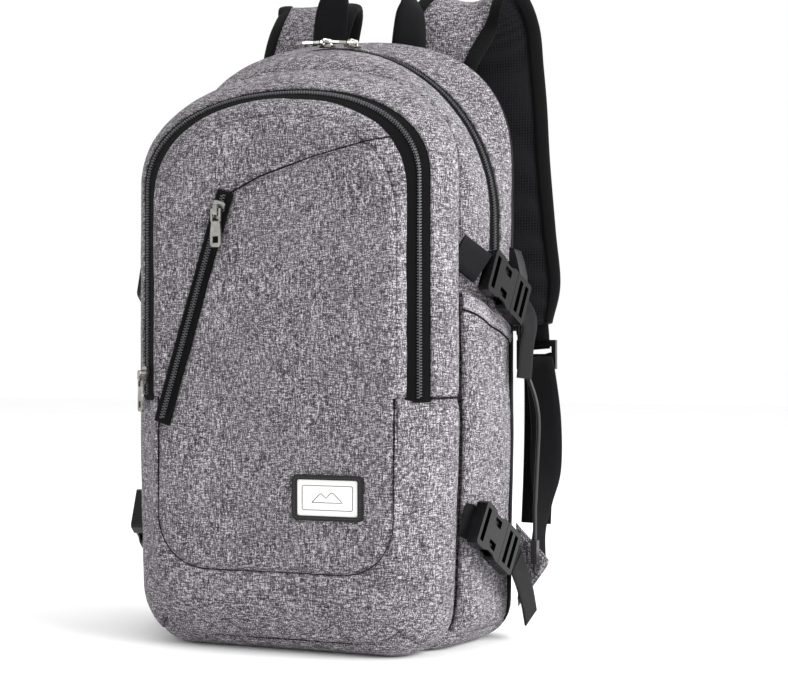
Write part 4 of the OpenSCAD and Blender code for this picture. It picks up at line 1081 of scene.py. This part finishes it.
for side, flip in (("right", 1), ("left", -1)):
    for level, paths, ways in (("top", (TOP_STUB, TOP_REAR, TOP_TAIL), TOP_WAYS),
                               ("bottom", (BOTTOM_STUB, BOTTOM_REAR, BOTTOM_TAIL), BOTTOM_WAYS)):
        node = f"compression_strap_{level}_{side}"
        turn = np.array([flip, 1, 1])
        for part, path, way, material, thick in zip(("stub", "rear", "tail"), paths, ways,
                                                    ("charcoal", "webbing", "webbing"), (3.2, 1.6, 1.6)):
            rides = BODY_OF[f"buckle_plug_{level}_{side}"] if part == "tail" else BAG
            webbing(f"{node}_{part}", np.array(path) * turn, np.array(way) * turn * flip,
                    [13.6 if part == "stub" else 12.5] * len(path), rides, material,
                    [] if part == "tail" else [node], thick, 40)
        keep_node(f"buckle_socket_{level}_{side}", "plastic", 0.7)
        keep_node(f"buckle_plug_{level}_{side}", "plastic", 0.5)

# ---- corner tabs, anchors, inner walls

for side, flip in (("right", 1), ("left", -1)):
    corners = [(144.5, 88), (171, 60), (170, 55), (146, 22)]
    grid = []
    for u in np.linspace(0, 1, 20):
        top = np.array(corners[0]) + (np.array(corners[1]) - np.array(corners[0])) * u
        low = np.array(corners[3]) + (np.array(corners[2]) - np.array(corners[3])) * u
        grid.append([(flip * (top + (low - top) * v)[0], 71.5 + 0.6 * math.sin(3 * u + 2 * v),
                      (top + (low - top) * v)[1]) for v in np.linspace(0, 1, 24)])
    cloth_sheet(f"corner_tab_{side}_cloth", grid, BAG, out=flip, thick=2.6, roll=0.4,
                replaces=[f"corner_tab_{side}"], size=0.3)
    shadow = [[np.array(grid[i][1]) + [0, -1.0, -2.2] for i in range(1, 19)],
            [np.array(grid[i][22]) + [0, -1.0, 2.2] for i in range(1, 19)]]
    stitches(f"corner_tab_{side}_stitches", shadow, BAG, pitch=3.0, length=2.1)


def cushion(name, centre, size, body, material, replaces):
    """A soft rounded slab: a subdivided grid box pulled in at its edges."""
    verts, faces, index = [], [], {}
    counts = [max(3, int(s / 14)) for s in size]

    def vertex(i, j, k):
        key = (i, j, k)
        if key not in index:
            u = np.array([i / counts[0], j / counts[1], k / counts[2]]) * 2 - 1
            p = u * np.array(size) / 2
            p[0] *= 1 - 0.03 * abs(u[2]) ** 8
            p[2] *= 1 - 0.02 * abs(u[0]) ** 8
            p[1] *= 0.35 + 0.65 * (1 - abs(u[0]) ** 5) ** 0.5 * (1 - abs(u[2]) ** 9) ** 0.5
            index[key] = len(verts)
            verts.append(np.array(centre) + p)
        return index[key]

    for axis in range(3):
        a, b = [q for q in range(3) if q != axis]
        for end in (0, counts[axis]):
            for i in range(counts[a]):
                for j in range(counts[b]):
                    quad = []
                    for di, dj in ((0, 0), (1, 0), (1, 1), (0, 1)):
                        key = [0, 0, 0]
                        key[axis], key[a], key[b] = end, i + di, j + dj
                        quad.append(vertex(*key))
                    outward = (end > 0) == (axis != 1)
                    faces.append(quad if outward else quad[::-1])
    obj = make(name, verts, faces, material, body, replaces)
    modify(obj, "SUBSURF", levels=1, render_levels=1)
    return obj


SWELL_FRAMES = 20


def inflate(obj, pressure, cap, pinned, voxel=5.0):
    """Swells a padded piece by a short cloth simulation, and keeps the result as its mesh."""
    modify(obj, "REMESH", mode="VOXEL", voxel_size=voxel * MM)
    mesh = bpy.data.meshes.new_from_object(obj.evaluated_get(bpy.context.evaluated_depsgraph_get()))
    obj.modifiers.clear()
    obj.data = mesh
    start = np.array([v.co[:] for v in mesh.vertices])
    group = obj.vertex_groups.new(name="pinned")
    group.add([i for i, p in enumerate(start / MM) if pinned(p)], 1.0, "REPLACE")
    cloth = obj.modifiers.new("swell", "CLOTH")
    cloth.settings.use_pressure = True
    cloth.settings.uniform_pressure_force = pressure
    cloth.settings.effector_weights.gravity = 0
    cloth.settings.vertex_group_mass = "pinned"
    cloth.point_cache.frame_end = SWELL_FRAMES
    for step in range(1, SWELL_FRAMES + 1):
        bpy.context.scene.frame_set(step)
    swollen = obj.evaluated_get(bpy.context.evaluated_depsgraph_get())
    end = np.array([v.co[:] for v in swollen.data.vertices])
    obj.modifiers.clear()
    move = end - start
    far = np.linalg.norm(move, axis=1, keepdims=True)
    end = start + move * np.minimum(1, cap * MM / np.maximum(far, 1e-9))
    mesh.vertices.foreach_set("co", end.ravel())
    mesh.polygons.foreach_set("use_smooth", [True] * len(mesh.polygons))
    mesh.update()
    bpy.context.scene.frame_set(1)
    modify(obj, "SUBSURF", levels=1, render_levels=1)


for side, x in (("right", 66), ("left", -58)):
    low, high = BACK - 0.5, 83.4
    cushion(f"strap_anchor_{side}_cloth", (x, (low + high) / 2, 416), (62, high - low, 21), BAG,
            "binding", ["strap_anchors"])
for side, x in (("right", 62), ("left", -62)):
    pad = cushion(f"back_pad_{side}_cloth", (x, BACK + 3.4, 230), (87, 8, 338), BAG, "mesh",
                  ["back_pads"])
    inflate(pad, 4, 5, lambda p: p[1] < BACK + 0.6)
keep_node("middle_wall", "lining", 0.4)
keep_node("laptop_divider", "lining", 0.8)

# ---- charging port and cable

keep_node("usb_port_housing", "gloss", 1.2)
keep_node("usb_socket", "steel", 0.15)
keep_node("cable_usb_plug", "cable", 0.5)
keep_node("cable_end_plug", "cable", 0.4)

CABLE = [[149.5, 64, 237], [150, 64, 230], [151, 64, 222], [153, 64, 214], [156, 64, 206], [159, 64, 198],
         [162, 64, 189], [164, 64, 180], [165, 64, 170], [165, 64, 160], [164.5, 64, 150], [164, 64, 140],
         [163.5, 64, 130], [163, 64, 120], [162.5, 64, 110], [162, 64, 100], [162, 64, 92], [162, 64, 84],
         [162, 64, 76]]
CABLE_DIAMETER = 3.4
curve = bpy.data.curves.new("charging_cable_cord", "CURVE")
curve.dimensions = "3D"
curve.bevel_depth = CABLE_DIAMETER / 2 * MM
curve.bevel_resolution = 4
curve.resolution_u = 6
curve.use_fill_caps = True
spline = curve.splines.new("BEZIER")
spline.bezier_points.add(len(CABLE) - 1)
for point, place in zip(spline.bezier_points, CABLE):
    point.co = Vector(place) * MM
    point.handle_left_type = point.handle_right_type = "AUTO"
curve.materials.append(M["cable"])
cable = put("charging_cable_cord", curve)
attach(cable, BODY_OF["charging_cable"])
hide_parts("charging_cable")

# ---- floor

FLOOR = 6  # metres from the middle to each edge
floor_mesh = bpy.data.meshes.new("floor")
floor_mesh.from_pydata([(-FLOOR, -FLOOR, 0), (FLOOR, -FLOOR, 0), (FLOOR, FLOOR, 0), (-FLOOR, FLOOR, 0)],
                       [], [(0, 1, 2, 3)])
floor_shader = Shader("floor_pale", 0.7)
floor_tones = [(0.3, (0.95, 0.95, 0.95, 1)), (0.7, (0.97, 0.97, 0.97, 1))]
floor_shader.colour(floor_shader.ramp(floor_shader.noise(3, 2), floor_tones))
floor_mesh.materials.append(floor_shader.material)
floor = put("floor", floor_mesh)
